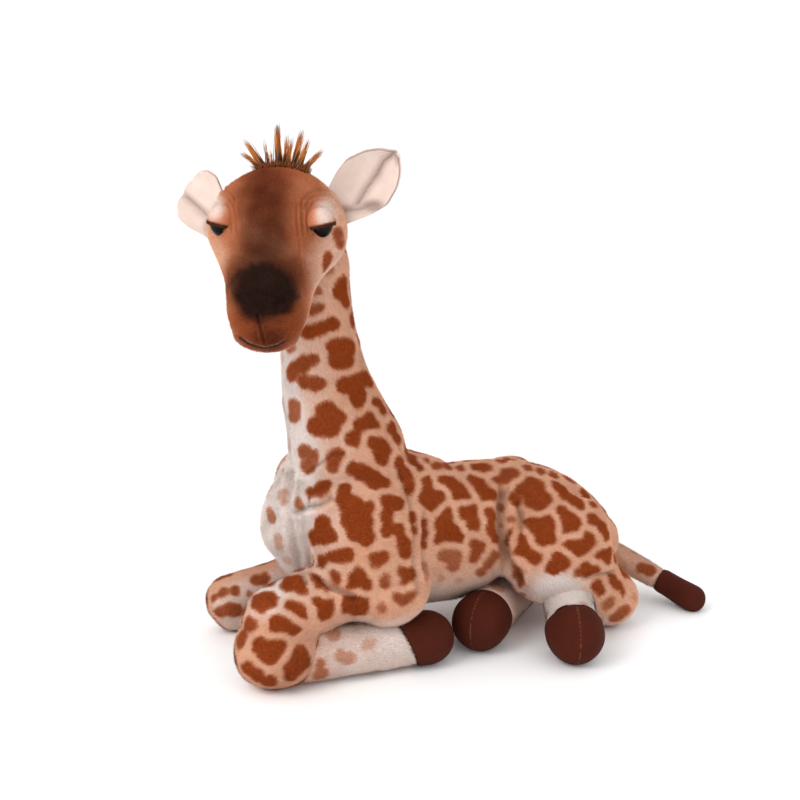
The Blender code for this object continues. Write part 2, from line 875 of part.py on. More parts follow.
def haunch_pieces(side, ground, moving):
    cloth = paint(skin(f"haunch_{side}_skin", haunch_form(side)), "coat_cloth")
    stuffing = paint(filling(f"haunch_{side}_filling", haunch_form(side)), "fibre")
    for piece in (cloth, stuffing):
        cut(piece, tool(torso_form()), ground, *moving)
    return [cloth, stuffing]


def tail_pieces(ground):
    made = leg_pieces("tail", "tail_tip", tail_form(), tail_seam_share)
    for piece in made:
        cut(piece, ground)
    return made


def build():
    """Every piece on the empty of its body, and the places of the joints."""
    toy = empty("giraffe", (0, 0, 0))
    ground = box("ground_block", (-reach, -reach, -reach), (reach, reach, 0.0))
    hide(ground)
    tail_rooms = rooms_to_swing(tail_form(), tail_swing)
    hind_rooms = {
        side: rooms_to_swing(hind_leg_form(side), hind_swings[side]) for side in hands
    }
    bodies = {"giraffe": (toy, torso_pieces(tail_rooms) + neck_pieces())}
    head = empty("head_joint", head_pivot, toy)
    bodies["head"] = (head, head_pieces())
    for side in hands:
        knee = knee_place(side)
        shank_rooms = rooms_to_swing(shank_form(side), shank_swings[side])
        moving = hind_rooms[side] + tail_rooms
        if side == "left":
            moving += hind_rooms["right"]
        bodies["giraffe"][1].extend(foreleg_pieces(side, ground, shank_rooms))
        bodies["giraffe"][1].extend(haunch_pieces(side, ground, moving))
        ear = empty(f"ear_{side}_joint", ear_frame(side)[0], head)
        bodies["ear_" + side] = (ear, ear_pieces(side))
        shank = empty(f"shank_{side}_joint", knee, toy)
        bodies["shank_" + side] = (shank, shank_pieces(side, ground))
        hind = empty(f"hind_leg_{side}_joint", hips[side], toy)
        bodies["hind_leg_" + side] = (hind, hind_leg_pieces(side, ground))
    bodies["tail"] = (empty("tail_joint", tail_root, toy), tail_pieces(ground))
    bpy.context.view_layer.update()
    for carrier, pieces in bodies.values():
        for piece in pieces:
            piece.parent = carrier
            piece.matrix_parent_inverse = carrier.matrix_world.inverted()
    for thing in bpy.data.objects:
        if thing.hide_render:
            thing.parent = toy
    return toy, bodies


def centre_on_ground(toy, bodies):
    """Moves the toy so that the origin is the bottom centre of everything in it."""
    bpy.context.view_layer.update()
    graph = bpy.context.evaluated_depsgraph_get()
    corners = []
    for carrier, pieces in bodies.values():
        for piece in pieces:
            made = piece.evaluated_get(graph)
            mesh = made.to_mesh()
            corners += [made.matrix_world @ vertex.co for vertex in mesh.vertices]
            made.to_mesh_clear()
    low = [min(corner[i] for corner in corners) for i in range(3)]
    high = [max(corner[i] for corner in corners) for i in range(3)]
    toy.location = (-(low[0] + high[0]) / 2, -(low[1] + high[1]) / 2, -low[2])
    bpy.context.view_layer.update()
    print("size", [round(b - a, 5) for a, b in zip(low, high)])
    print("moved by", [round(value, 5) for value in toy.location])
    for name, (carrier, pieces) in bodies.items():
        place = [round(value, 5) for value in carrier.matrix_world.translation]
        print(name, place, [piece.name for piece in pieces])


clear_scene()
materials = {
    "coat_cloth": material("coat_cloth", (0.62, 0.33, 0.17), 0.95),
    "face_cloth": material("face_cloth", (0.40, 0.18, 0.08), 0.95),
    "ear_cloth": material("ear_cloth", (0.55, 0.36, 0.26), 0.95),
    "ear_velvet": material("ear_velvet", (0.78, 0.66, 0.60), 0.9),
    "lid_cloth": material("lid_cloth", (0.80, 0.70, 0.62), 0.95),
    "hoof_velvet": material("hoof_velvet", (0.13, 0.045, 0.022), 0.85),
    "leg_cloth": material("leg_cloth", (0.80, 0.68, 0.58), 0.95),
    "fibre": material("fibre", (0.90, 0.90, 0.88), 1.0),
    "hair": material("hair", (0.55, 0.28, 0.10), 0.8),
    "thread": material("thread", (0.06, 0.03, 0.02), 0.8),
    "eye_plastic": material("eye_plastic", (0.02, 0.015, 0.01), 0.08),
    "washer_plastic": material("washer_plastic", (0.85, 0.85, 0.82), 0.4),
}
centre_on_ground(*build())
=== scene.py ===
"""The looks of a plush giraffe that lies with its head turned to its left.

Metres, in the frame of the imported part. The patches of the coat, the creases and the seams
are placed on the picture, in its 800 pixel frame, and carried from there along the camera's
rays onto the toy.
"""

import json
import math

import bmesh
import bpy
import numpy as np
from mathutils import Matrix, Vector
from mathutils.bvhtree import BVHTree


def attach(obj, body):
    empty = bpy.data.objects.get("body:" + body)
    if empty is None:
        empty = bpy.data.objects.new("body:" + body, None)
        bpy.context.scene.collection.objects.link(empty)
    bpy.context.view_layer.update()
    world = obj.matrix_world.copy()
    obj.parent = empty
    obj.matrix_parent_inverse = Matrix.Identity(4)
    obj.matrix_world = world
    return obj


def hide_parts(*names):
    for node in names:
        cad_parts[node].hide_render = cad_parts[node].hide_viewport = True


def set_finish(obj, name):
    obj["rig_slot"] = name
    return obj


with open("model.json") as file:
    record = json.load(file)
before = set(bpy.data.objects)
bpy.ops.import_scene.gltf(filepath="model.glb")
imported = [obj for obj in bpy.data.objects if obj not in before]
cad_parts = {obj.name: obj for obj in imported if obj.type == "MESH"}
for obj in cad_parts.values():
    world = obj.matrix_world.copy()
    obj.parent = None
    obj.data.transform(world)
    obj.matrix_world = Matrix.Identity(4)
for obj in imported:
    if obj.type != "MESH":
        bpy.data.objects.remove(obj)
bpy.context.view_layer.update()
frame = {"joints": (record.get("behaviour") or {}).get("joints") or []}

joints = {joint["name"]: Vector(joint["pos_m"]) for joint in frame["joints"]}
bpy.ops.object.select_all(action="DESELECT")

# The place on the ground between the front knees, from which the forms are laid out
knee_spread = 0.057
knee_forward = {"left": 0.004, "right": 0.007}
knee_level = {"left": joints["shank_left_swing"].z, "right": joints["shank_right_swing"].z}
layout = joints["shank_left_swing"] - Vector((knee_spread, knee_forward["left"], knee_level["left"]))
hands = {"left": 1, "right": -1}
sky = Vector((0, 0, 1))
ahead = Vector((0, -1, 0))

# Camera, fitted to the picture
picture_width = 800
camera_turn = math.radians(67.0)
camera_drop = math.radians(16.0)
camera_range = 1.3
camera_lens = 72.0
film_width = 36.0
camera_target = layout + Vector((-0.007, 0.138, 0.200))

# Pile: its lengths, and how it stands
pile_length = 0.0030
far_leg_pile = 0.0014
head_pile = 0.0026
lid_pile = 0.0014
ear_pile = 0.0009
pile_width = 0.00050
pile_density = 2.0e6
head_density = 2.6e6
pile_lean = 0.72
pile_rooted = 0.0002
pile_scatter = 0.35
pile_swirl = 0.5
swirl_size = 0.012
strand_limit = 190000

# Cloth, which lies inside the part's skin by pile_sunk, under the pile
pile_sunk = 0.0009
cloth_shine = 0.12
coat_voxel = 0.0018
relax_share = 0.5
crease_reach = 0.035
spine_steps = 60

# The ground: forms dip below it and are then flattened onto it
ground_dip = 0.0005
ground_level = 0.0002
ground_clear = 0.0010
sole_rise = 0.001

# Patches of the coat and the net between them, and what is painted on a coat
net_width = 0.0046
edge_feather = 0.0020
patch_growth = 0.0014
patch_blur = 0.0011
patch_reach = 0.055
patch_depth = 0.45
patch_tries = 6000
# Of these masks, the third carries the airbrushed darks together with painted shade in folds, creases and
# seams
coat_masks = ("patch", "pale", "brown_and_shade", "black", "tan", "rust")

# Head, as the part has it
head_turned = math.radians(62.0)
head_ahead = 0.026
head_reach = 0.078
head_lift = 0.030
head_drop = 0.046
head_width = 0.106
head_height = 0.090
head_forward = Vector((math.sin(head_turned), -math.cos(head_turned), 0.0))
head_left = sky.cross(head_forward)
head_start = joints["head_turn"] + ahead * head_ahead + sky * head_lift


# Places and lengths of the stuffed forms, whose tables hold shares of them
torso_start = 0.036
torso_length = 0.300
torso_level = 0.098
torso_half = 0.060
torso_deep = 0.078
neck_back = 0.092
neck_lean = 0.028
neck_foot = 0.120
neck_rise = 0.200
neck_half = 0.046
neck_deep = 0.053
shoulder = (0.038, 0.078, 0.130)
foreleg_half = 0.041
elbow_back = 0.100
elbow_level = {"left": 0.068, "right": 0.036}
forearm_over = {"left": 0.0224, "right": 0.0095}
forearm_cap = {"left": 0.0, "right": 0.008}
forearm_half = {"left": 0.028, "right": 0.0205}
shank_length = 0.104
shank_half = {"left": 0.023, "right": 0.019}
shank_turned = {"left": 0.006, "right": -0.044}
haunch_out = 0.050
haunch_back = 0.262
haunch_slide = 0.036
haunch_level = 0.120
haunch_half = 0.042
haunch_deep = 0.052
hind_half = 0.024
tail_start = 0.318
tail_out = 0.058
tail_back = 0.068
tail_level = 0.050
tail_half = 0.012


def smooth(low, high, value):
    """0 below low, 1 above high, and a soft step between."""
    share = np.clip((value - low) / (high - low), 0, 1)
    return share * share * (3 - 2 * share)


# Looking along the camera's rays
class Eye:
    """The camera's place and directions, and what it sees of points."""

    def __init__(self):
        level = math.cos(camera_drop)
        self.back = Vector(
            (math.sin(camera_turn) * level, -math.cos(camera_turn) * level, math.sin(camera_drop))
        )
        self.place = camera_target + self.back * camera_range
        self.right = sky.cross(self.back).normalized()
        self.up = self.back.cross(self.right)
        self.reach = picture_width * camera_lens / film_width

    def ray(self, x, y):
        across = (x - picture_width / 2) / self.reach
        rise = (picture_width / 2 - y) / self.reach
        return (self.right * across + self.up * rise - self.back).normalized()

    def seen(self, points):
        """Pixels across and down, and the depth, of an array of points."""
        away = points - np.array(self.place)
        depth = -away @ np.array(self.back)
        x = picture_width / 2 + self.reach * (away @ np.array(self.right)) / depth
        y = picture_width / 2 - self.reach * (away @ np.array(self.up)) / depth
        return np.stack((x, y), 1), depth

    def spot(self, tree, x, y):
        """Where the ray through a pixel first meets a surface, and the way out there."""
        place, normal, _, _ = tree.ray_cast(self.place, self.ray(x, y))
        return place, normal


eye = Eye()


def lattice_noise(points, size, seed):
    """Smooth random values from -1 to 1 that change over about a size."""
    place = points / size + seed * 17.31
    cell = np.floor(place).astype(np.int64)
    within = place - cell
    within = within * within * (3 - 2 * within)
    total = np.zeros(len(points))
    for corner in range(8):
        step = np.array([corner & 1, corner >> 1 & 1, corner >> 2 & 1])
        at = cell + step
        # Mixes the cell's three numbers into one that looks random
        code = at[:, 0] * 73856093 ^ at[:, 1] * 19349663 ^ at[:, 2] * 83492791
        code = (code * 2654435761) % 4294967296
        code = (code ^ (code >> 15)) * 2246822519 % 4294967296
        share = np.prod(np.where(step, within, 1 - within), axis=1)
        total += share * ((code >> 8) % 65536) / 32768
    return total - 1


# Stuffed forms, as in the part but finer
class Form:
    """Oval rings strung on a curved spine, rounded off at both ends."""

    def __init__(self, keys, up, sides=64, pitch=0.003, domes=(1.0, 1.0)):
        self.keys = [(layout + Vector(place), wide, tall) for place, wide, tall in keys]
        self.up = Vector(up).normalized()
        self.sides = sides
        self.pitch = pitch
        self.domes = domes

    def along_keys(self, column, share):
        """One column of the keys at a share of the spine, on a smooth curve through them."""
        values = [key[column] for key in self.keys]
        last = len(values) - 1
        place = share * last
        i = min(int(place), last - 1)
        f = place - i
        a, b = values[max(i - 1, 0)], values[i]
        c, d = values[i + 1], values[min(i + 2, last)]
        bend = (a * 2 - b * 5 + c * 4 - d) * (f * f / 2)
        twist = (b * 3 - c * 3 + d - a) * (f * f * f / 2)
        return b + (c - a) * (f / 2) + bend + twist

    def ring(self, share):
        """Centre, directions along, sideways and up, and half sizes at a share of the spine."""
        step = 1 / (16 * len(self.keys))
        forward = self.along_keys(0, min(share + step, 1.0))
        behind = self.along_keys(0, max(share - step, 0.0))
        along = (forward - behind).normalized()
        sideways = along.cross(self.up).normalized()
        up = sideways.cross(along).normalized()
        centre = self.along_keys(0, share)
        return centre, along, sideways, up, self.along_keys(1, share), self.along_keys(2, share)

    def skin_point(self, share, turn, lift=0.0):
        """A point on or over the skin, turned from sideways towards up, and the way out there."""
        centre, _, sideways, up, wide, tall = self.ring(share)
        out = (sideways * math.cos(turn) * tall + up * math.sin(turn) * wide).normalized()
        on = centre + sideways * wide * math.cos(turn) + up * tall * math.sin(turn)
        return on + out * lift, out

    def rows(self, grow):
        """Rings from end to end as centre, sideways, up and half sizes, and both poles."""
        places = [self.along_keys(0, i / spine_steps) for i in range(spine_steps + 1)]
        length = sum((b - a).length for a, b in zip(places, places[1:]))
        count = max(round(length / self.pitch), 4)
        body = []
        for i in range(count + 1):
            centre, _, sideways, up, wide, tall = self.ring(i / count)
            body.append((centre, sideways, up, wide + grow, tall + grow))
        ends = []
        for share, sign, dome in ((0.0, -1, self.domes[0]), (1.0, 1, self.domes[1])):
            centre, along, sideways, up, wide, tall = self.ring(share)
            long = dome * min(wide, tall) + grow
            bends = max(round(long * math.pi / 2 / self.pitch), 6)
            cap = []
            for i in range(1, bends):
                bend = math.pi / 2 * i / bends
                out = along * (sign * long * math.sin(bend))
                close = math.cos(bend)
                cap.append((centre + out, sideways, up, (wide + grow) * close, (tall + grow) * close))
            ends.append((cap, centre + along * (sign * long)))
        return ends[0][0][::-1] + body + ends[1][0], ends[0][1], ends[1][1]

    def object(self, name, grow=0.0):
        rows, first, last = self.rows(grow)
        shell = bmesh.new()
        rings = []
        for centre, sideways, up, wide, tall in rows:
            ring = []
            for i in range(self.sides):
                turn = 2 * math.pi * i / self.sides
                place = centre + sideways * wide * math.cos(turn) + up * tall * math.sin(turn)
                ring.append(shell.verts.new(place))
            rings.append(ring)
        for low, high in zip(rings, rings[1:]):
            for i in range(self.sides):
                j = (i + 1) % self.sides
                shell.faces.new((low[i], low[j], high[j], high[i]))
        start, end = shell.verts.new(first), shell.verts.new(last)
        for i in range(self.sides):
            j = (i + 1) % self.sides
            shell.faces.new((rings[0][j], rings[0][i], start))
            shell.faces.new((rings[-1][i], rings[-1][j], end))
        bmesh.ops.recalc_face_normals(shell, faces=shell.faces)
        return made_object(name, shell)


def linked(name, data):
    """A new object of the scene that holds some data."""
    made = bpy.data.objects.new(name, data)
    bpy.context.scene.collection.objects.link(made)
    return made


def made_object(name, shell):
    mesh = bpy.data.meshes.new(name)
    shell.to_mesh(mesh)
    shell.free()
    mesh.shade_smooth()
    return linked(name, mesh)


def torso_form():
    shares = (
        (0.00, 1.22, 0.52, 0.46),
        (0.09, 1.13, 0.78, 0.76),
        (0.20, 1.07, 0.98, 0.86),
        (0.33, 0.95, 1.00, 0.83),
        (0.46, 0.87, 0.96, 0.76),
        (0.58, 0.92, 0.90, 0.63),
        (0.71, 0.91, 0.82, 0.56),
        (0.84, 0.74, 0.68, 0.49),
        (0.93, 0.57, 0.46, 0.33),
    )
    keys = [
        (
            (0.0, torso_start + along * torso_length, level * torso_level),
            wide * torso_half,
            tall * torso_deep,
        )
        for along, level, wide, tall in shares
    ]
    return Form(keys, sky, domes=(0.55, 1.0))


def neck_form():
    shares = (
        (0.00, 0.00, 1.00, 1.00),
        (0.22, 0.14, 0.96, 0.93),
        (0.35, 0.42, 0.84, 0.80),
        (0.47, 0.66, 0.75, 0.72),
        (0.63, 0.86, 0.67, 0.61),
        (0.82, 1.00, 0.63, 0.55),
        (1.00, 1.05, 0.61, 0.53),
    )
    keys = [
        (
            (0.0, neck_back - lean * neck_lean, neck_foot + rise * neck_rise),
            wide * neck_half,
            deep * neck_deep,
        )
        for rise, lean, wide, deep in shares
    ]
    return Form(keys, ahead, domes=(0.55, 1.0))


def head_form():
    shares = (
        (-0.26, 0.00, 0.66, 0.74),
        (0.00, 0.05, 0.92, 0.98),
        (0.24, -0.05, 1.00, 1.02),
        (0.50, -0.36, 0.80, 0.86),
        (0.70, -0.76, 0.62, 0.70),
        (0.88, -1.14, 0.56, 0.62),
        (1.00, -1.42, 0.46, 0.46),
    )
    keys = [
        (
            head_start + head_forward * (forward * head_reach) + sky * (rise * head_drop) - layout,
            wide * head_width / 2,
            tall * head_height / 2,
        )
        for forward, rise, wide, tall in shares
    ]
    return Form(keys, sky, sides=264, pitch=0.0011, domes=(1.0, 0.55))


def elbow_place(side):
    return Vector((hands[side] * knee_spread, elbow_back, elbow_level[side]))


def knee_place(side):
    return Vector((hands[side] * knee_spread, knee_forward[side], knee_level[side]))


def upper_foreleg_form(side):
    out, back, level = shoulder
    top = Vector((hands[side] * out, back, level))
    shares = ((0.00, 0.80, 0.92), (0.50, 0.92, 1.12), (1.00, 0.80, 0.86))
    keys = [
        (top.lerp(elbow_place(side), along), wide * foreleg_half, deep * foreleg_half)
        for along, wide, deep in shares
    ]
    return Form(keys, ahead)


def forearm_form(side):
    half = forearm_half[side]
    knee = knee_place(side) + sky * forearm_over[side] + ahead * forearm_cap[side]
    shares = (
        (0.00, 0.00, 1.04, 1.10),
        (0.36, 0.30, 0.90, 0.92),
        (0.70, 0.22, 0.94, 0.94),
        (0.94, 0.00, 1.04, 1.06),
    )
    keys = [
        (elbow_place(side).lerp(knee, along) + sky * (rise * half), wide * half, tall * half)
        for along, rise, wide, tall in shares
    ]
    return Form(keys, sky)


def shank_form(side):
    knee = knee_place(side)
    half = knee.z + ground_dip
    keys = [(knee, half, half)]
    for along, wide, lift in ((0.30, 1.06, 0.0), (0.66, 0.95, 0.4), (1.0, 0.92, 1.0), (1.22, 0.92, 1.0)):
        half = wide * shank_half[side]
        place = (
            knee.x + hands[side] * along * shank_turned[side],
            knee.y + along * shank_length,
            half - ground_dip + lift * sole_rise,
        )
        keys.append((place, half, half))
    return Form(keys, sky, pitch=0.0016, sides=96)


def haunch_form(side):
    shares = (
        (0.90, -0.44, 0.66, 0.52, 0.58),
        (0.74, -0.30, 0.86, 0.92, 0.96),
        (0.55, -0.02, 1.00, 1.00, 0.92),
        (0.33, 0.62, 1.10, 0.76, 0.60),
        (0.20, 1.18, 1.14, 0.56, 0.48),
    )
    keys = [
        (
            (hands[side] * out * haunch_out, haunch_back + slide * haunch_slide, level * haunch_level),
            wide * haunch_half,
            deep * haunch_deep,
        )
        for level, slide, out, wide, deep in shares
    ]
    return Form(keys, ahead)


hips = {side: joints[f"hind_leg_{side}_swing"] - layout for side in hands}
hind_reaches = {"left": Vector((0.050, -0.018, 0.0)), "right": Vector((0.070, -0.072, 0.0))}


def hind_leg_form(side):
    keys = []
    shares = ((0.0, 1.0, 0.0), (0.4, 0.94, 0.0), (0.75, 0.88, 0.6), (1.0, 0.94, 1.0), (1.25, 0.96, 1.0))
    for along, thick, lift in shares:
        half = thick * hind_half
        place = hips[side] + hind_reaches[side] * along
        down = min(along, 1.0)
        place.z = hips[side].z * (1 - down) + (half - ground_dip + lift * sole_rise) * down
        keys.append((place, half, half))
    return Form(keys, sky, pitch=0.0016, sides=96)


def tail_form():
    shares = (
        (0.00, 0.00, 1.00, 1.00),
        (0.14, 0.42, 0.68, 0.94),
        (0.48, 0.78, 0.38, 0.84),
        (1.00, 1.00, 0.21, 0.92),
    )
    keys = [
        (
            (out * tail_out, tail_start + back * tail_back, level * tail_level),
            thick * tail_half,
            thick * tail_half,
        )
        for out, back, level, thick in shares
    ]
    return Form(keys, sky, pitch=0.0014)


# Meshes as arrays
def rows_of(items, key, wide, kind):
    found = np.empty(len(items) * wide, kind)
    items.foreach_get(key, found)
    return found.reshape(-1, wide)


def places_of(thing):
    return rows_of(thing.data.vertices, "co", 3, float)


def ways_of(thing):
    return rows_of(thing.data.vertex_normals, "vector", 3, np.float32).astype(float)


def towards_eye(ways):
    """How far each direction leads towards the camera."""
    return ways @ np.array(eye.back)


def put_places(thing, places):
    thing.data.vertices.foreach_set("co", places.ravel())
    thing.data.update()


def lumpy(thing, *lumps):
    """Swells and dents a piece by noises, each given by its size, seed and height."""
    places, ways = places_of(thing), ways_of(thing)
    lump = sum(lattice_noise(places, size, seed) * height for size, seed, height in lumps)
    put_places(thing, places + ways * lump[:, None])


def put_mask(thing, name, values):
    mask = thing.data.attributes.new(name, "FLOAT", "POINT")
    mask.data.foreach_set("value", np.asarray(values, np.float32))


def tree_of(thing):
    shell = bmesh.new()
    shell.from_mesh(thing.data)
    tree = BVHTree.FromBMesh(shell)
    shell.free()
    return tree


def relaxed(thing, rounds, where=None):
    """Moves points towards the middle of their neighbours, each by its share of where if given."""
    places = places_of(thing)
    size = len(places)
    a, b = rows_of(thing.data.edges, "vertices", 2, np.int32).T
    count = np.bincount(np.concatenate((a, b)), minlength=size)[:, None]
    share = relax_share if where is None else relax_share * where[:, None]
    for _ in range(rounds):
        sums = [np.bincount(a, places[b, i], size) + np.bincount(b, places[a, i], size) for i in range(3)]
        places = places + (np.stack(sums, 1) / count - places) * share
    put_places(thing, places)


# Creases, pressed into a piece along lines drawn on the picture
def press(thing, lines, depth, width, rim=0.35):
    """Presses grooves along lines of pixels into the side that the camera sees.

    What comes back is how deep each point lies in a groove, from 0 to 1.
    """
    tree = tree_of(thing)
    places, ways = places_of(thing), ways_of(thing)
    pixels, far = eye.seen(places)
    facing = smooth(0.0, 0.25, towards_eye(ways))
    pixel_size = (far / eye.reach)[:, None]
    move, deepest = np.zeros(len(places)), np.zeros(len(places))
    for line in lines:
        spots = [eye.spot(tree, x, y)[0] for x, y in line]
        line = np.array([point for point, spot in zip(line, spots) if spot], float)
        spots = np.array([spot for spot in spots if spot])
        if len(line) < 2:
            continue
        nearest = np.full(len(places), 1.0)
        for a, b, start, end in zip(line, line[1:], spots, spots[1:]):
            way = b - a
            share = np.clip((pixels - a) @ way / (way @ way), 0, 1)
            gap = (pixels - a - share[:, None] * way) * pixel_size
            beside = places - (start + share[:, None] * (end - start))
            off = np.hypot(gap[:, 0], gap[:, 1])
            off = np.where(np.linalg.norm(beside, axis=1) < crease_reach, off, 1.0)
            nearest = np.minimum(nearest, off)
        groove = np.exp(-((nearest / width) ** 2))
        deepest = np.maximum(deepest, groove * facing)
        move -= depth * groove
        move += depth * rim * np.exp(-(((nearest - 2 * width) / width) ** 2))
    put_places(thing, places + ways * (move * facing)[:, None])
    return deepest


# Patches of the coat: circles of pixels, joined within one patch, with its strength last
neck_patches = (
    ((340, 280, 6), (341, 290, 8), (347, 301, 6), 1.0),
    ((309, 331, 6), (320, 327, 7), (333, 323, 6), 1.0),
    ((313, 311, 5), (318, 306, 5), 0.8),
    ((317, 291, 5), 0.7),
    ((331, 271, 5), 0.6),
    ((336, 347, 9), (347, 346, 8), (337, 359, 9), (345, 360, 8), 1.0),
    ((354, 320, 5), (356, 330, 5), 1.0),
    ((295, 367, 6), (304, 362, 7), (313, 358, 6), (292, 374, 6), (304, 381, 6), (317, 383, 7), 0.85),
    ((291, 347, 5), 0.6),
    ((345, 384, 8), (357, 382, 9), (367, 378, 7), (358, 396, 8), (360, 403, 5), 1.0),
    ((375, 403, 5), (381, 410, 5), 1.0),
    ((294, 405, 7), (294, 415, 7), 0.7),
    ((326, 410, 9), (318, 425, 9), (330, 426, 10), (338, 416, 7), 0.9),
    ((370, 415, 7), (362, 424, 8), (354, 437, 8), (372, 424, 7), 0.95),
    ((372, 440, 7), (381, 448, 9), (382, 458, 7), 1.0),
    ((391, 427, 5), (396, 438, 5), 1.0),
    ((304, 450, 7), (315, 457, 8), (308, 466, 7), 0.75),
    ((328, 458, 7), (337, 455, 7), (333, 465, 7), 0.85),
    ((405, 449, 5), (411, 458, 6), (418, 467, 5), 1.0),
    ((398, 462, 6), (404, 474, 7), (410, 488, 6), 1.0),
    ((280, 387, 3), 0.5),
    ((285, 450, 4), 0.5),
    ((283, 420, 3), 0.4),
    ((284, 470, 4), 0.4),
)
shoulder_patches = (
    ((350, 468, 6), (361, 472, 8), (373, 479, 9), (383, 482, 6), 1.0),
    ((311, 494, 6), (319, 489, 7), (326, 487, 5), 0.9),
    ((299, 503, 5), 0.6),
    (
        (343, 490, 6), (345, 501, 9), (353, 508, 10), (350, 520, 9),
        (355, 532, 8), (366, 536, 8), (368, 520, 7), (369, 508, 7), 1.0,
    ),
    (
        (386, 503, 8), (396, 503, 7), (384, 516, 8), (385, 530, 6),
        (398, 530, 6), (403, 542, 7), (404, 552, 6), 1.0,
    ),
    ((322, 524, 8), (315, 536, 8), (327, 536, 9), 0.95),
    ((323, 562, 7), (335, 558, 9), (347, 555, 6), 1.0),
    ((411, 518, 6), (413, 530, 5), 0.9),
    ((355, 578, 7), (362, 572, 8), (366, 584, 6), (352, 585, 5), 1.0),
    ((370, 566, 6), (376, 559, 7), (383, 556, 5), 0.9),
    ((384, 582, 6), (389, 576, 6), 0.8),
    ((398, 573, 7), (408, 575, 7), (404, 583, 6), 0.9),
    ((333, 571, 6), (335, 580, 5), 0.9),
    ((315, 579, 5), (320, 584, 5), (327, 590, 4), 0.95),
    ((398, 596, 6), (408, 594, 7), (402, 600, 5), 0.8),
    ((270, 512, 4), (272, 518, 4), 0.55),
    ((283, 494, 4), (284, 502, 3), 0.4),
    ((277, 538, 4), (278, 546, 4), 0.4),
    ((287, 560, 5), 0.35),
)
forearm_patches = (
    ((287, 584, 7), (295, 584, 7), (302, 589, 6), 0.95),
    ((256, 600, 7), (264, 596, 8), (272, 600, 7), (262, 606, 6), 0.9),
    ((291, 606, 6), (298, 609, 7), (302, 615, 5), 0.95),
    ((320, 601, 6), (329, 605, 8), (324, 612, 6), 1.0),
    ((348, 604, 8), (357, 605, 10), (367, 606, 8), 1.0),
    ((378, 607, 6), 0.8),
    ((241, 622, 7), (250, 624, 8), (243, 634, 7), (241, 643, 5), 0.85),
    ((278, 622, 7), (286, 623, 8), (295, 628, 6), (277, 627, 5), 1.0),
    ((260, 644, 8), (268, 652, 9), (279, 646, 8), (272, 656, 7), 0.95),
    ((299, 652, 6), (301, 662, 9), (294, 669, 9), (291, 676, 5), 0.9),
    ((249, 668, 7), (259, 675, 7), (270, 681, 7), 0.9),
    ((214, 598, 4), (224, 594, 5), (236, 592, 5), 0.8),
    ((221, 611, 6), (230, 607, 7), (236, 609, 6), 0.8),
    ((212, 629, 5), (222, 631, 6), (231, 630, 5), 0.8),
    ((203, 620, 5), (205, 626, 4), 0.5),
    ((256, 581, 5), (265, 579, 5), 0.8),
    ((250, 593, 4), 0.6),
)
shank_patches = (
    ((310, 638, 5), (312, 644, 4), 0.8),
    ((318, 664, 6), (322, 673, 5), (316, 675, 4), 0.6),
    ((329, 632, 5), (334, 634, 5), 0.45),
    ((340, 655, 5), (349, 657, 5), (345, 661, 4), 0.45),
    ((366, 645, 5), (372, 642, 4), 0.35),
    ((354, 629, 3), 0.25),
)
body_patches = (
    ((425, 461, 4), (436, 467, 5), (447, 466, 5), (460, 468, 4), 0.85),
    ((427, 482, 6), (424, 495, 8), (432, 500, 9), (440, 494, 6), 1.0),
    ((441, 480, 6), (450, 484, 8), (461, 490, 7), (455, 494, 6), (466, 496, 4), 1.0),
    ((472, 481, 6), (480, 487, 8), (489, 494, 7), (484, 499, 4), 1.0),
    ((422, 523, 5), (424, 534, 6), (424, 544, 4), 0.9),
    ((446, 515, 7), (440, 526, 8), (449, 532, 9), (458, 538, 6), (436, 538, 6), 1.0),
    ((462, 512, 6), (471, 512, 8), (473, 524, 8), (476, 532, 4), 1.0),
    ((487, 512, 6), (494, 516, 6), (490, 528, 7), (496, 538, 5), 1.0),
    ((444, 555, 7), (453, 556, 8), (452, 566, 6), 0.7),
    ((474, 541, 7), (478, 549, 7), (474, 557, 6), 0.85),
    ((493, 555, 6), (487, 563, 6), (480, 572, 5), 0.75),
    ((424, 567, 5), (426, 575, 4), 0.5),
    ((440, 578, 4), 0.4),
    ((457, 580, 4), 0.35),
    ((474, 467, 5), (483, 468, 6), (490, 471, 4), 0.9),
    ((500, 461, 5), (509, 461, 6), 0.9),
    ((495, 479, 6), (504, 476, 8), (513, 474, 6), 0.85),
    ((500, 510, 5), (502, 525, 5), 0.9),
)
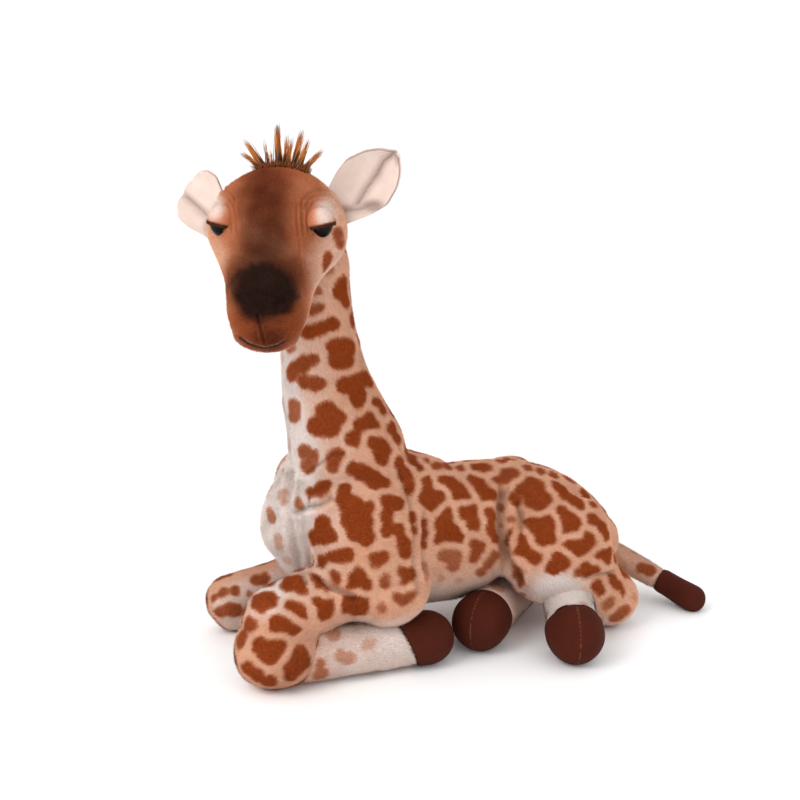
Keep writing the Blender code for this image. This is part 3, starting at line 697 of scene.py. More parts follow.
haunch_patches = (
    (
        (515, 499, 6), (521, 489, 7), (530, 483, 7), (541, 487, 5),
        (546, 497, 7), (539, 505, 7), (530, 502, 5), (531, 494, 8), 0.9,
    ),
    ((555, 487, 6), (563, 493, 8), (573, 499, 8), (579, 504, 5), 1.0),
    ((581, 490, 5), (586, 498, 5), (591, 504, 4), 1.0),
    ((527, 468, 4), (540, 471, 4), (552, 475, 4), 0.85),
    ((566, 478, 4), (574, 483, 4), 0.85),
    ((508, 520, 5), (510, 532, 6), (508, 541, 4), 0.95),
    ((530, 527, 7), (538, 529, 10), (548, 524, 9), (548, 536, 7), (540, 540, 6), 1.0),
    ((561, 512, 6), (566, 520, 9), (575, 525, 7), (566, 530, 6), 1.0),
    ((592, 521, 7), (599, 529, 8), (605, 536, 5), 1.0),
    ((521, 537, 7), (522, 549, 8), (531, 556, 8), (539, 559, 5), 1.0),
    ((569, 543, 6), (578, 548, 8), (588, 545, 7), (592, 536, 7), (585, 533, 4), 1.0),
    ((549, 565, 6), (558, 561, 8), (567, 565, 6), (555, 569, 5), 1.0),
    ((597, 556, 6), (605, 556, 7), (609, 551, 4), 1.0),
    ((575, 570, 5), (586, 568, 7), (595, 567, 6), 0.95),
    ((596, 585, 6), (601, 588, 5), (600, 592, 4), 0.9),
    ((611, 580, 6), (617, 587, 6), (621, 593, 4), 0.9),
    ((602, 608, 5), (608, 602, 6), (613, 597, 4), 0.7),
    ((614, 617, 6), (621, 612, 6), (626, 608, 4), 0.75),
    ((594, 612, 5), (596, 620, 5), 0.7),
    ((634, 598, 4), 0.4),
)
hind_leg_patches = {
    "left": (
        ((549, 585, 5), (556, 585, 5), 0.5),
        ((538, 574, 5), 0.35),
        ((578, 577, 4), 0.4),
        ((583, 607, 4), 0.35),
    ),
    "right": (
        ((496, 586, 5), (500, 588, 4), 0.4),
        ((522, 577, 5), (522, 567, 5), 0.35),
        ((523, 598, 4), 0.25),
    ),
}
tail_patches = (
    ((641, 567, 5), (649, 570, 5), 0.8),
    ((615, 557, 4), (621, 566, 4), 0.35),
)
cheek_patches = (
    ((327, 258, 5), (325, 266, 4), 0.85),
    ((337, 234, 5), (339, 245, 4), 0.8),
    ((330, 272, 5), 0.6),
)


class Pattern:
    """Where the patches of a piece lie, those of the picture and those of its far sides."""

    def __init__(self, tree, patches):
        self.spots = []
        for number, patch in enumerate(patches):
            for x, y, radius in patch[:-1]:
                place, _ = eye.spot(tree, x, y)
                if place:
                    depth = -(place - eye.place).dot(eye.back)
                    self.spots.append((place, radius * depth / eye.reach, number, patch[-1], True))
        self.count = len(patches)

    def spread(self, places, strengths, apart, radius, chooser, most=400):
        """Adds patches on the sides that the picture doesn't show, each well clear of the others."""
        order = chooser.permutation(len(places))
        taken = np.array([spot[0] for spot in self.spots]).reshape(-1, 3)
        added = 0
        for i in order[:patch_tries]:
            if added == most:
                break
            clear = apart * chooser.uniform(0.85, 1.15)
            if len(taken) and np.min(np.linalg.norm(taken - places[i], axis=1)) < clear:
                continue
            size = radius * chooser.uniform(0.85, 1.15)
            centre = Vector(places[i])
            side = Vector(chooser.normal(size=3)).normalized() * (size * 0.55)
            for spot in (centre + side, centre - side):
                self.spots.append((spot, size * 0.8, self.count, strengths[i], False))
                taken = np.vstack((taken, np.array(spot)))
            self.count += 1
            added += 1

    def masks(self, places):
        """How far each point lies inside a patch, from 0 to 1, with the patch's strength."""
        best = np.full((len(places), 2), -1.0)
        strength = np.zeros(len(places))
        groups = {}
        for spot in self.spots:
            groups.setdefault(spot[2], []).append(spot)
        warp = lattice_noise(places, 0.0075, 3) * 0.0012 + lattice_noise(places, 0.0030, 5) * 0.0007
        for spots in groups.values():
            middle = np.mean([np.array(spot[0]) for spot in spots], axis=0)
            near = np.nonzero(np.linalg.norm(places - middle, axis=1) < patch_reach)[0]
            if not len(near):
                continue
            total = np.zeros(len(near))
            for place, radius, _, _, seen in spots:
                away = places[near] - np.array(place)
                gap = np.sum(away * away, axis=1)
                if seen:
                    deep = towards_eye(away)
                    gap -= deep * deep * (1 - patch_depth**2)
                total += np.exp((radius - np.sqrt(np.maximum(gap, 0))) / patch_blur)
            inside = np.log(total + 1e-30) * patch_blur + warp[near]
            first = inside > best[near, 0]
            best[near, 1] = np.where(first, best[near, 0], np.maximum(best[near, 1], inside))
            best[near, 0] = np.where(first, inside, best[near, 0])
            strength[near] = np.where(first, spots[0][3], strength[near])
        inside = np.minimum(best[:, 0] + patch_growth, (best[:, 0] - best[:, 1]) / 2 - net_width / 2)
        return smooth(-edge_feather, edge_feather, inside) * strength


# Finishes
def tint(red, green, blue):
    """A colour as it looks on the picture, from 0 to 255, as the shader wants it."""
    values = [value / 255 for value in (red, green, blue)]
    linear = [v / 12.92 if v <= 0.04045 else ((v + 0.055) / 1.055) ** 2.4 for v in values]
    return (*linear, 1.0)


class Reading:
    """A socket of numbers, for arithmetic in the nodes of one finish."""

    def __init__(self, finish, socket):
        self.finish = finish
        self.socket = socket

    def __add__(self, other):
        return self.finish.maths("ADD", self, other)

    def __sub__(self, other):
        return self.finish.maths("SUBTRACT", self, other)

    def __mul__(self, other):
        return self.finish.maths("MULTIPLY", self, other)


class Finish:
    """A material with the nodes that feed its shader."""

    def __init__(self, name, **constants):
        self.material = bpy.data.materials.new(name)
        self.material.use_nodes = True
        self.tree = self.material.node_tree
        self.shader = self.tree.nodes["Principled BSDF"]
        for socket, value in constants.items():
            self.shader.inputs[socket.replace("_", " ")].default_value = value

    def node(self, kind, settings=None, **values):
        """A node with its settings, and its inputs by name, or as input0 and so on by number."""
        made = self.tree.nodes.new(kind)
        for name, value in (settings or {}).items():
            setattr(made, name, value)
        for name, value in values.items():
            numbered = name.startswith("input")
            self.give(made.inputs[int(name[5:]) if numbered else name.replace("_", " ")], value)
        return made

    def give(self, socket, value):
        if isinstance(value, Reading):
            self.tree.links.new(value.socket, socket)
        elif isinstance(value, bpy.types.NodeSocket):
            self.tree.links.new(value, socket)
        else:
            socket.default_value = value

    def maths(self, operation, first, second):
        made = self.node("ShaderNodeMath", {"operation": operation}, input0=first, input1=second)
        return Reading(self, made.outputs[0])

    def mask(self, name):
        made = self.node("ShaderNodeAttribute", {"attribute_name": name})
        return Reading(self, made.outputs["Fac"])

    def place(self):
        return self.node("ShaderNodeTexCoord").outputs["Object"]

    def noise(self, size, detail, rough=0.5):
        """Random values from 0 to 1 that change over about a size in metres."""
        made = self.node(
            "ShaderNodeTexNoise", Vector=self.place(), Scale=1 / size, Detail=detail, Roughness=rough
        )
        return Reading(self, made.outputs["Fac"])

    def steps(self, value, low, high):
        made = self.node(
            "ShaderNodeMapRange", {"interpolation_type": "SMOOTHSTEP"},
            Value=value, From_Min=low, From_Max=high,
        )
        return Reading(self, made.outputs["Result"])

    def blend(self, share, first, second):
        """Two colours, or links to them, mixed by a share."""
        made = self.node("ShaderNodeMix", {"data_type": "RGBA"}, Factor=share, input6=first, input7=second)
        return made.outputs[2]

    def paint(self, colour):
        self.give(self.shader.inputs["Base Color"], colour)

    def raised(self, height, depth, strength):
        """A bump of a depth in metres, on the shader's normal."""
        made = self.node("ShaderNodeBump", Height=height, Distance=depth, Strength=strength)
        self.give(self.shader.inputs["Normal"], made.outputs["Normal"])

    def wear(self, thing):
        thing.data.materials.clear()
        thing.data.materials.append(self.material)
        return thing


def coat_colour(finish, strand):
    """Tan net, pale fronts, rusty patches, airbrushed darks and painted crease shade, from a piece's masks.
    """
    patch, pale, brown_and_shade, black, tan, rust = (finish.mask(name) for name in coat_masks)
    cloud = finish.noise(0.020, 3.0)
    fleck = finish.noise(0.0022, 2.0, 0.7)
    net = finish.blend(cloud, tint(206, 142, 110), tint(228, 178, 150))
    cream = finish.blend(cloud, tint(218, 198, 188), tint(238, 225, 218))
    ground = finish.blend(pale, net, cream)
    ground = finish.blend(tan, ground, finish.blend(cloud, tint(164, 88, 54), tint(190, 116, 80)))
    dark_spot = finish.blend(fleck, tint(112, 40, 10), tint(160, 76, 34))
    pale_spot = finish.blend(fleck, tint(176, 104, 70), tint(206, 146, 116))
    spot = finish.blend(finish.steps(patch, 0.35, 0.95), pale_spot, dark_spot)
    cover = finish.steps(patch * 1.25 + (fleck - 0.5) * 0.30, 0.12, 0.72)
    mixed = finish.blend(cover, ground, spot)
    mixed = finish.blend(rust, mixed, finish.blend(fleck, tint(98, 40, 20), tint(142, 70, 38)))
    # Airbrushed darks, and painted shade in the folds, creases and seams
    mixed = finish.blend(brown_and_shade, mixed, finish.blend(fleck, tint(54, 20, 11), tint(92, 42, 24)))
    mixed = finish.blend(black, mixed, finish.blend(fleck, tint(8, 6, 6), tint(38, 24, 20)))
    light = strand * 0.56 + 0.70
    return finish.node("ShaderNodeVectorMath", {"operation": "SCALE"}, Vector=mixed, Scale=light).outputs[0]


def coat_finish():
    """The cloth that the pile stands in."""
    finish = Finish("coat_cloth", Roughness=0.95, Specular_IOR_Level=cloth_shine)
    grain = finish.noise(0.0011, 2.0, 0.6)
    finish.paint(coat_colour(finish, grain))
    finish.raised(grain, 0.0008, 0.8)
    return finish


def pile_finish():
    """The pile itself, darker at its root and lighter at its tip."""
    finish = Finish("pile", Roughness=0.9, Specular_IOR_Level=cloth_shine)
    strand = finish.mask("strand") * 0.75 + finish.mask("tip") * 0.40
    finish.paint(coat_colour(finish, strand))
    way = finish.node("ShaderNodeAttribute", {"attribute_name": "pile_way"})
    turned = finish.node(
        "ShaderNodeVectorTransform",
        {"vector_type": "NORMAL", "convert_from": "OBJECT", "convert_to": "WORLD"},
        Vector=way.outputs["Vector"],
    )
    finish.give(finish.shader.inputs["Normal"], turned.outputs[0])
    return finish


def velvet_finish():
    finish = Finish("hoof_velvet", Roughness=0.85, Specular_IOR_Level=cloth_shine)
    fleck = finish.noise(0.0010, 3.0, 0.7)
    cloud = finish.noise(0.014, 3.0)
    base = finish.blend(cloud, tint(42, 10, 5), tint(70, 25, 11))
    base = finish.blend(fleck * 0.4, base, tint(104, 44, 24))
    base = finish.blend(finish.mask("stitch"), base, tint(150, 96, 74))
    finish.paint(base)
    finish.raised(fleck, 0.0006, 0.7)
    return finish


def ear_finish():
    finish = Finish("ear_velvet", Roughness=0.9, Specular_IOR_Level=cloth_shine, Sheen_Weight=0.05)
    fleck = finish.noise(0.0012, 3.0, 0.7)
    cloud = finish.noise(0.012, 2.0)
    base = finish.blend(cloud, tint(212, 190, 178), tint(232, 216, 206))
    # Painted shade along the folds and under the folded lobe
    base = finish.blend(finish.mask("brown_and_shade"), base, tint(82, 58, 52))
    base = finish.blend(fleck * 0.25, base, tint(190, 152, 136))
    finish.paint(base)
    finish.raised(fleck, 0.0006, 0.6)
    return finish


def hair_finish():
    finish = Finish("hair", Roughness=0.5, Specular_IOR_Level=0.3)
    along, strand = finish.mask("tip"), finish.mask("strand")
    root = finish.blend(strand, tint(34, 18, 14), tint(92, 52, 34))
    middle = finish.blend(strand, tint(150, 82, 34), tint(224, 140, 62))
    base = finish.blend(finish.steps(along, 0.16, 0.60), root, middle)
    base = finish.blend(finish.steps(along, 0.80, 1.0), base, tint(84, 54, 40))
    finish.paint(base)
    return finish


def eye_finish():
    finish = Finish("eye_plastic", Roughness=0.20, Specular_IOR_Level=0.06)
    ring = finish.mask("iris")
    fleck = finish.noise(0.0012, 2.0)
    iris = finish.blend(fleck, tint(18, 12, 8), tint(36, 26, 16))
    finish.paint(finish.blend(ring, tint(5, 4, 4), iris))
    return finish


def thread_finish():
    finish = Finish("thread", Roughness=0.7)
    twist = finish.noise(0.0008, 1.0)
    finish.paint(finish.blend(twist, tint(26, 14, 12), tint(52, 30, 24)))
    return finish


# Pile, one narrow blade for each tuft of fibres
def pile_on(name, thing, body, comb, density=pile_density, length=pile_length, bare=None):
    """Blades of pile on a piece, as one or more pieces that ride on its body.

    No pile stands where the piece meets the ground, or in a ball given as bare.
    """
    mesh = thing.data
    mesh.calc_loop_triangles()
    corners = rows_of(mesh.loop_triangles, "vertices", 3, np.int32)
    places, ways = places_of(thing), ways_of(thing)
    a, b, c = (places[corners[:, i]] for i in range(3))
    area = np.linalg.norm(np.cross(b - a, c - a), axis=1) / 2
    chooser = np.random.default_rng(len(name))
    count = int(area.sum() * density)
    chosen = chooser.choice(len(corners), count, p=area / area.sum())
    share = np.sort(chooser.random((count, 2)), axis=1)
    share = np.stack((share[:, 0], share[:, 1] - share[:, 0], 1 - share[:, 1]), 1)
    root = np.einsum("ij,ijk->ik", share, places[corners[chosen]])
    way = np.einsum("ij,ijk->ik", share, ways[corners[chosen]])
    way /= np.linalg.norm(way, axis=1)[:, None]
    keep = root[:, 2] > ground_clear
    if bare:
        keep &= np.linalg.norm(root - np.array(bare[0]), axis=1) > bare[1]
    root, way, chosen, share = root[keep], way[keep], chosen[keep], share[keep]
    count = len(root)
    flow = comb(root) + chooser.normal(scale=pile_scatter, size=root.shape)
    flow += np.stack([lattice_noise(root, swirl_size, seed) for seed in (11, 12, 13)], 1) * pile_swirl
    flow -= way * np.sum(flow * way, axis=1)[:, None]
    flow /= np.linalg.norm(flow, axis=1)[:, None] + 1e-9
    side = np.cross(way, flow)
    lean = pile_lean + chooser.normal(scale=0.10, size=(count, 1))
    long = length * chooser.uniform(0.75, 1.15, (count, 1))
    rise = way * np.cos(lean * math.pi / 2) + flow * np.sin(lean * math.pi / 2)
    root = root - way * pile_rooted
    corner = np.stack((root - side * pile_width / 2, root + side * pile_width / 2, root + rise * long), 1)
    corner[:, :, 2] = np.maximum(corner[:, :, 2], ground_level)
    masks = {}
    for mask in coat_masks:
        values = rows_of(mesh.attributes[mask].data, "value", 1, np.float32)[:, 0]
        masks[mask] = np.sum(values[corners[chosen]] * share, axis=1)
    strand = chooser.random(count)
    order = np.argsort(root[:, 1] + root[:, 0] * 0.01)
    for part, chunk in enumerate(np.array_split(order, max(1, -(-count // strand_limit)))):
        painted = {mask: values[chunk] for mask, values in masks.items()}
        made = blades(f"{name}_{part + 1}", corner[chunk], way[chunk], strand[chunk], painted)
        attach(made, body)
        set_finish(made, thing["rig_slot"])


def blades(name, corner, way, strand, masks):
    """A mesh of single triangles whose light falls as on the cloth below them."""
    count = len(corner)
    mesh = bpy.data.meshes.new(name)
    mesh.vertices.add(count * 3)
    mesh.vertices.foreach_set("co", corner.reshape(-1))
    mesh.loops.add(count * 3)
    mesh.loops.foreach_set("vertex_index", np.arange(count * 3, dtype=np.int32))
    mesh.polygons.add(count)
    mesh.polygons.foreach_set("loop_start", np.arange(0, count * 3, 3, dtype=np.int32))
    mesh.update(calc_edges=True)
    columns = math.ceil(math.sqrt(count))
    cell = np.arange(count)
    middle = np.stack((cell % columns + 0.5, cell // columns + 0.5), 1)
    spread = np.array(((-0.3, -0.3), (0.3, -0.3), (0.0, 0.3)))
    layer = mesh.uv_layers.new(name="OFBake")
    layer.uv.foreach_set("vector", ((middle[:, None] + spread) / columns).ravel().astype(np.float32))
    thing = linked(name, mesh)
    for key, values in masks.items():
        put_mask(thing, key, np.repeat(values, 3))
    put_mask(thing, "strand", np.repeat(strand, 3))
    put_mask(thing, "tip", np.tile((0.0, 0.0, 1.0), count))
    facing = mesh.attributes.new("pile_way", "FLOAT_VECTOR", "POINT")
    facing.data.foreach_set("vector", np.repeat(way, 3, axis=0).ravel().astype(np.float32))
    mesh.shade_smooth()
    mesh.normals_split_custom_set_from_vertices(np.repeat(way, 3, axis=0))
    return finishes["pile"].wear(thing)


def select_only(*things):
    """Selects these objects alone, the first as the active one."""
    bpy.ops.object.select_all(action="DESELECT")
    for thing in things:
        thing.select_set(True)
    bpy.context.view_layer.objects.active = things[0]


def merged(name, things):
    """One closed skin round overlapping shells."""
    select_only(*things)
    bpy.ops.object.join()
    made = things[0]
    made.name = name
    remesh = made.modifiers.new("skin", "REMESH")
    remesh.mode = "VOXEL"
    remesh.voxel_size = coat_voxel
    bpy.ops.object.modifier_apply(modifier=remesh.name)
    return made


def flattened(thing):
    """Lifts what lies below the ground onto it."""
    places = places_of(thing)
    places[:, 2] = np.maximum(places[:, 2], ground_level)
    put_places(thing, places)


def halved(thing, place, way, keep_front):
    """Keeps the part of a closed shell on one side of a plane, closed again."""
    shell = bmesh.new()
    shell.from_mesh(thing.data)
    every = shell.verts[:] + shell.edges[:] + shell.faces[:]
    bmesh.ops.bisect_plane(
        shell, geom=every, plane_co=place, plane_no=way, clear_inner=keep_front, clear_outer=not keep_front
    )
    rim = [edge for edge in shell.edges if edge.is_boundary]
    bmesh.ops.holes_fill(shell, edges=rim, sides=0)
    shell.to_mesh(thing.data)
    shell.free()
    thing.data.update()


# The sewn coat of the trunk
sock_top = (556, 588, 28, 17)
chest_edge = ((330, 288), (400, 298), (450, 316), (480, 312), (520, 310), (560, 304), (600, 280))


def coat_paleness(places, ways):
    """White down the front of neck and chest, paler on the belly, inside the legs and at the sock."""
    local = places - np.array(layout)
    pixels, _ = eye.seen(places)
    seen = smooth(-0.1, 0.3, towards_eye(ways))
    edge = np.interp(pixels[:, 1], *zip(*chest_edge))
    over = pixels[:, 0] - edge
    near_front = smooth(14, -12, over) + 0.35 * smooth(60, 0, over)
    front = smooth(0.30, 0.80, -ways[:, 1]) * smooth(0.085, 0.055, local[:, 1])
    front = near_front * seen * smooth(0.10, 0.08, local[:, 1]) + front * (1 - seen)
    front *= smooth(0.060, 0.085, local[:, 2])
    under = smooth(-0.25, -0.75, ways[:, 2] + lattice_noise(places, 0.02, 9) * 0.15)
    under *= smooth(0.105, 0.060, local[:, 2]) * smooth(0.02, 0.10, local[:, 1])
    belly = smooth(0.080, 0.048, local[:, 2]) * smooth(0.11, 0.15, local[:, 1])
    belly *= smooth(0.25, 0.22, local[:, 1])
    sock = oval(pixels, *sock_top, 0.5) * seen * smooth(0.20, 0.22, local[:, 1])
    inner = smooth(0.2, 0.8, -ways[:, 0] * np.sign(local[:, 0])) * smooth(0.12, 0.08, local[:, 2])
    return np.clip(np.maximum.reduce((front, under * 0.6, belly * 0.5, inner * 0.6, sock)), 0, 1)


def put_coat_masks(thing, patch, pale, brown_and_shade=0.0, black=0.0, tan=0.0, rust=0.0):
    for name, values in zip(coat_masks, (patch, pale, brown_and_shade, black, tan, rust)):
        put_mask(thing, name, np.broadcast_to(values, len(thing.data.vertices)))


chest_folds = (
    ((291, 474), (289, 500), (292, 530), (300, 562), (307, 580)),
    ((299, 486), (297, 512), (302, 540), (311, 566)),
)
pinch_fold = (((299, 511), (308, 507), (318, 505), (329, 498)),)
shoulder_seam = (((305, 476), (318, 465), (330, 456), (345, 452)),)
shoulder_back = (((398, 470), (408, 500), (414, 535), (413, 565), (418, 592)),)
elbow_fold = (((312, 574), (330, 585), (345, 592), (356, 598)),)
haunch_fold = (((502, 490), (500, 505), (501, 530), (506, 560), (517, 578)),)
thigh_fold = (((517, 505), (521, 518), (520, 528)),)
hock_fold = (((582, 578), (600, 574), (612, 572)),)
belly_folds = (((424, 512), (421, 545), (424, 570)),)
back_fold = (((398, 448), (408, 462), (424, 470)),)


def coat():
    """Torso, neck, upper legs and haunches as one skin, and how deep its points lie in folds."""
    shells = [torso_form().object("coat", -pile_sunk), neck_form().object("neck", -pile_sunk)]
    for side in hands:
        shells.append(upper_foreleg_form(side).object("upper", -pile_sunk))
        shells.append(forearm_form(side).object("forearm", -pile_sunk))
        shells.append(haunch_form(side).object("haunch", -pile_sunk))
        knee = knee_place(side)
        half = knee.z + ground_dip
        knee_cap = Form([(knee, half, half), (knee + Vector((0, 0.008, 0)), half, half)], sky)
        shells.append(knee_cap.object("knee", -pile_sunk))
    made = merged("trunk_coat", shells)
    relaxed(made, 14)
    # How deep each point lies in each fold, scaled to the strength of the shade painted there
    folds = [
        press(made, chest_folds, 0.0034, 0.0032) * 0.15,
        press(made, pinch_fold, 0.0032, 0.0028, rim=0.5) * 0.25,
        press(made, shoulder_seam + back_fold, 0.0016, 0.0014) * 0.25,
        press(made, shoulder_back + belly_folds, 0.0018, 0.0022) * 0.30,
        press(made, elbow_fold, 0.0035, 0.0024) * 0.30,
        press(made, haunch_fold, 0.0075, 0.0038) * 0.38,
        press(made, thigh_fold + hock_fold, 0.0026, 0.0022) * 0.40,
    ]
    lumpy(made, (0.022, 1, 0.0009), (0.009, 2, 0.0004))
    flattened(made)
    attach(made, "trunk")
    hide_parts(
        "torso_skin", "torso_filling", "neck_skin", "neck_filling",
        "foreleg_left_skin", "foreleg_left_filling", "foreleg_right_skin", "foreleg_right_filling",
        "haunch_left_skin", "haunch_left_filling", "haunch_right_skin", "haunch_right_filling",
    )
    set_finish(made, "coat_cloth")
    return made, np.maximum.reduce(folds)


def paint_coat(made, folds):
    chooser = np.random.default_rng(5)
    places, ways = places_of(made), ways_of(made)
    pattern = Pattern(
        tree_of(made), neck_patches + shoulder_patches + forearm_patches + body_patches + haunch_patches
    )
    pale = coat_paleness(places, ways)
    strengths = np.clip(1.0 - 0.7 * pale, 0.2, 1)
    hidden = towards_eye(ways) < 0.08
    pattern.spread(places[hidden], strengths[hidden], 0.0170, 0.0100, chooser)
    # The folds go in as painted shade alone, darkening the coat's creases
    put_coat_masks(made, pattern.masks(places), pale, brown_and_shade=folds)
    return finishes["coat"].wear(made)


# Lower legs and the tail, with their velvet ends
velvet_lift = 0.0006
shank_inset = 0.0008
shank_tuck = 0.0018
bare_knee = 1.03
end_pucker = 0.0012
end_seam_width = 0.0022
stitch_step = 0.0004
stitch_width = 0.0005


def leg(body, hoof_node, form, seam, lean, patches, pale):
    """The cloth of a stuffed lower leg or the tail, with its velvet end sewn on.

    A shank's cloth is drawn in, most of all round the knee, where the coat covers it.
    """
    inset, tucked = (shank_inset, shank_tuck) if body.startswith("shank") else (0.0, 0.0)
    centre, along, sideways, _, _, _ = form.ring(seam)
    way = (Matrix.Rotation(math.radians(lean), 3, sideways) @ along).normalized()
    cloth = form.object(f"{body}_cloth", -pile_sunk - inset)
    halved(cloth, centre, way, keep_front=False)
    hoof = form.object(f"{hoof_node}_velvet", velvet_lift)
    halved(hoof, centre, way, keep_front=True)
    root, radius, _ = form.keys[0]
    for made in (cloth, hoof):
        places, ways = places_of(made), ways_of(made)
        near = np.abs((places - np.array(centre)) @ np.array(way))
        pucker = -end_pucker * np.exp(-((near / end_seam_width) ** 2))
        lump = lattice_noise(places, 0.016, 4) * 0.0006
        away = np.linalg.norm(places - np.array(root), axis=1)
        tuck = tucked * smooth(1.3, 0.9, away / radius)
        put_places(made, places + ways * (pucker + lump - tuck)[:, None])
        flattened(made)
        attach(made, body)
    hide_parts(f"{body}_skin", f"{body}_filling")
    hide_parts(hoof_node)
    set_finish(cloth, "leg_cloth")
    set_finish(hoof, "hoof_velvet")
    places, ways = places_of(cloth), ways_of(cloth)
    chooser = np.random.default_rng(9)
    pattern = Pattern(tree_of(cloth), patches)
    hidden = places[towards_eye(ways) < 0.1]
    if len(hidden):
        pattern.spread(hidden, np.full(len(hidden), 0.4), 0.021, 0.0045, chooser, most=14)
    pixels, _ = eye.seen(places)
    paleness = np.interp(pixels[:, 0], *pale) + 0.12 * lattice_noise(places, 0.03, 6)
    put_coat_masks(cloth, pattern.masks(places), np.clip(paleness, 0, 1), tan=0.3 * (1 - paleness))
    finishes["coat"].wear(cloth)
    finishes["velvet"].wear(hoof)
    put_hoof_seam(hoof, centre, along, sideways)
    return cloth


def put_hoof_seam(hoof, centre, along, sideways):
    """The light line of stitches that runs round the toe of a hoof."""
    away = places_of(hoof) - np.array(centre)
    across = away @ np.array(sideways)
    run = away @ np.array(along)
    dash = smooth(-0.6, 0.2, np.sin(run / stitch_step))
    line = np.exp(-((across / stitch_width) ** 2))
    put_mask(hoof, "stitch", line * dash * 0.30 * smooth(0.004, 0.008, run))


def along_comb(form):
    """The lie of the pile down a limb."""
    way = (form.keys[-1][0] - form.keys[0][0]).normalized()
    return lambda places: np.broadcast_to(np.array(way), places.shape).copy()


# The head, its folds and its airbrushed darks, with shade painted into the folds and seams
brow_middle = {"left": (322, 215), "right": (219, 208)}
brow_radii = {"left": (14, 19, 24), "right": (13, 18)}
brow_span = {"left": (20, 160), "right": (25, 120)}
brow_wrinkles = (
    ((296, 204), (297, 220), (298, 238)),
    ((301, 206), (302, 222), (303, 237)),
    ((307, 207), (307, 222), (308, 234)),
    ((228, 206), (230, 220), (231, 233)),
    ((234, 204), (236, 220), (237, 235)),
    ((240, 206), (242, 222), (243, 236)),
)
snout_seam = (((299, 240), (300, 262), (302, 286), (303, 304)),)
muzzle_seam = (((257, 316), (260, 328), (264, 341)),)
mouth_line = (((240, 338), (249, 344), (264, 348), (277, 346), (287, 340)),)
nostril_dents = (((241, 300), (246, 305)), ((276, 305), (283, 301)))
white_spots = {"left": (325, 214, 10, 14), "right": (214, 207, 10, 14)}
nape_forward = -0.020
nape_span = 0.013
nape_rounds = 120
brow_swell = (((320, 210), (330, 210)), ((212, 203), (219, 203)))
nostril_swell = (((238, 292), (248, 284)), ((276, 284), (290, 292)))


def arc(middle, radius, span):
    """Pixels along an arc, its angles in degrees up from the right."""
    turns = np.radians(np.linspace(span[0], span[1], 9))
    return [(middle[0] + radius * math.cos(t), middle[1] - radius * math.sin(t)) for t in turns]


def oval(pixels, x, y, wide, tall, soft):
    """1 inside an oval of pixels, and 0 outside it, over a soft rim."""
    off = np.hypot((pixels[:, 0] - x) / wide, (pixels[:, 1] - y) / tall)
    return smooth(1 + soft, 1 - soft, off)


def white_spot(pixels, side):
    """The white round an eye, on the head and on the lid."""
    return oval(pixels, *white_spots[side], 0.65) * 0.85


def head():
    made = head_form().object("head_coat", -pile_sunk)
    forward = (places_of(made) - np.array(head_start)) @ np.array(head_forward)
    relaxed(made, nape_rounds, smooth(nape_span, 0.0, np.abs(forward - nape_forward)))
    press(made, brow_swell, -0.0026, 0.0060, rim=0.0)
    press(made, nostril_swell, -0.0022, 0.0080, rim=0.0)
    folds = press(made, brow_wrinkles, 0.0008, 0.0009)
    for side in hands:
        arcs = [arc(brow_middle[side], radius, brow_span[side]) for radius in brow_radii[side]]
        folds = np.maximum(folds, press(made, arcs, 0.0012, 0.0010))
    press(made, snout_seam, 0.0005, 0.0008)
    seams = press(made, muzzle_seam, 0.0016, 0.0011)
    seams = np.maximum(seams, press(made, mouth_line, 0.0016, 0.0013))
    press(made, nostril_dents, 0.0018, 0.0022)
    lumpy(made, (0.018, 8, 0.0005), (0.006, 9, 0.0002))
    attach(made, "head")
    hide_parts("head_skin", "head_filling")
    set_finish(made, "face_cloth")
    paint_head(made, folds, seams)
    return made


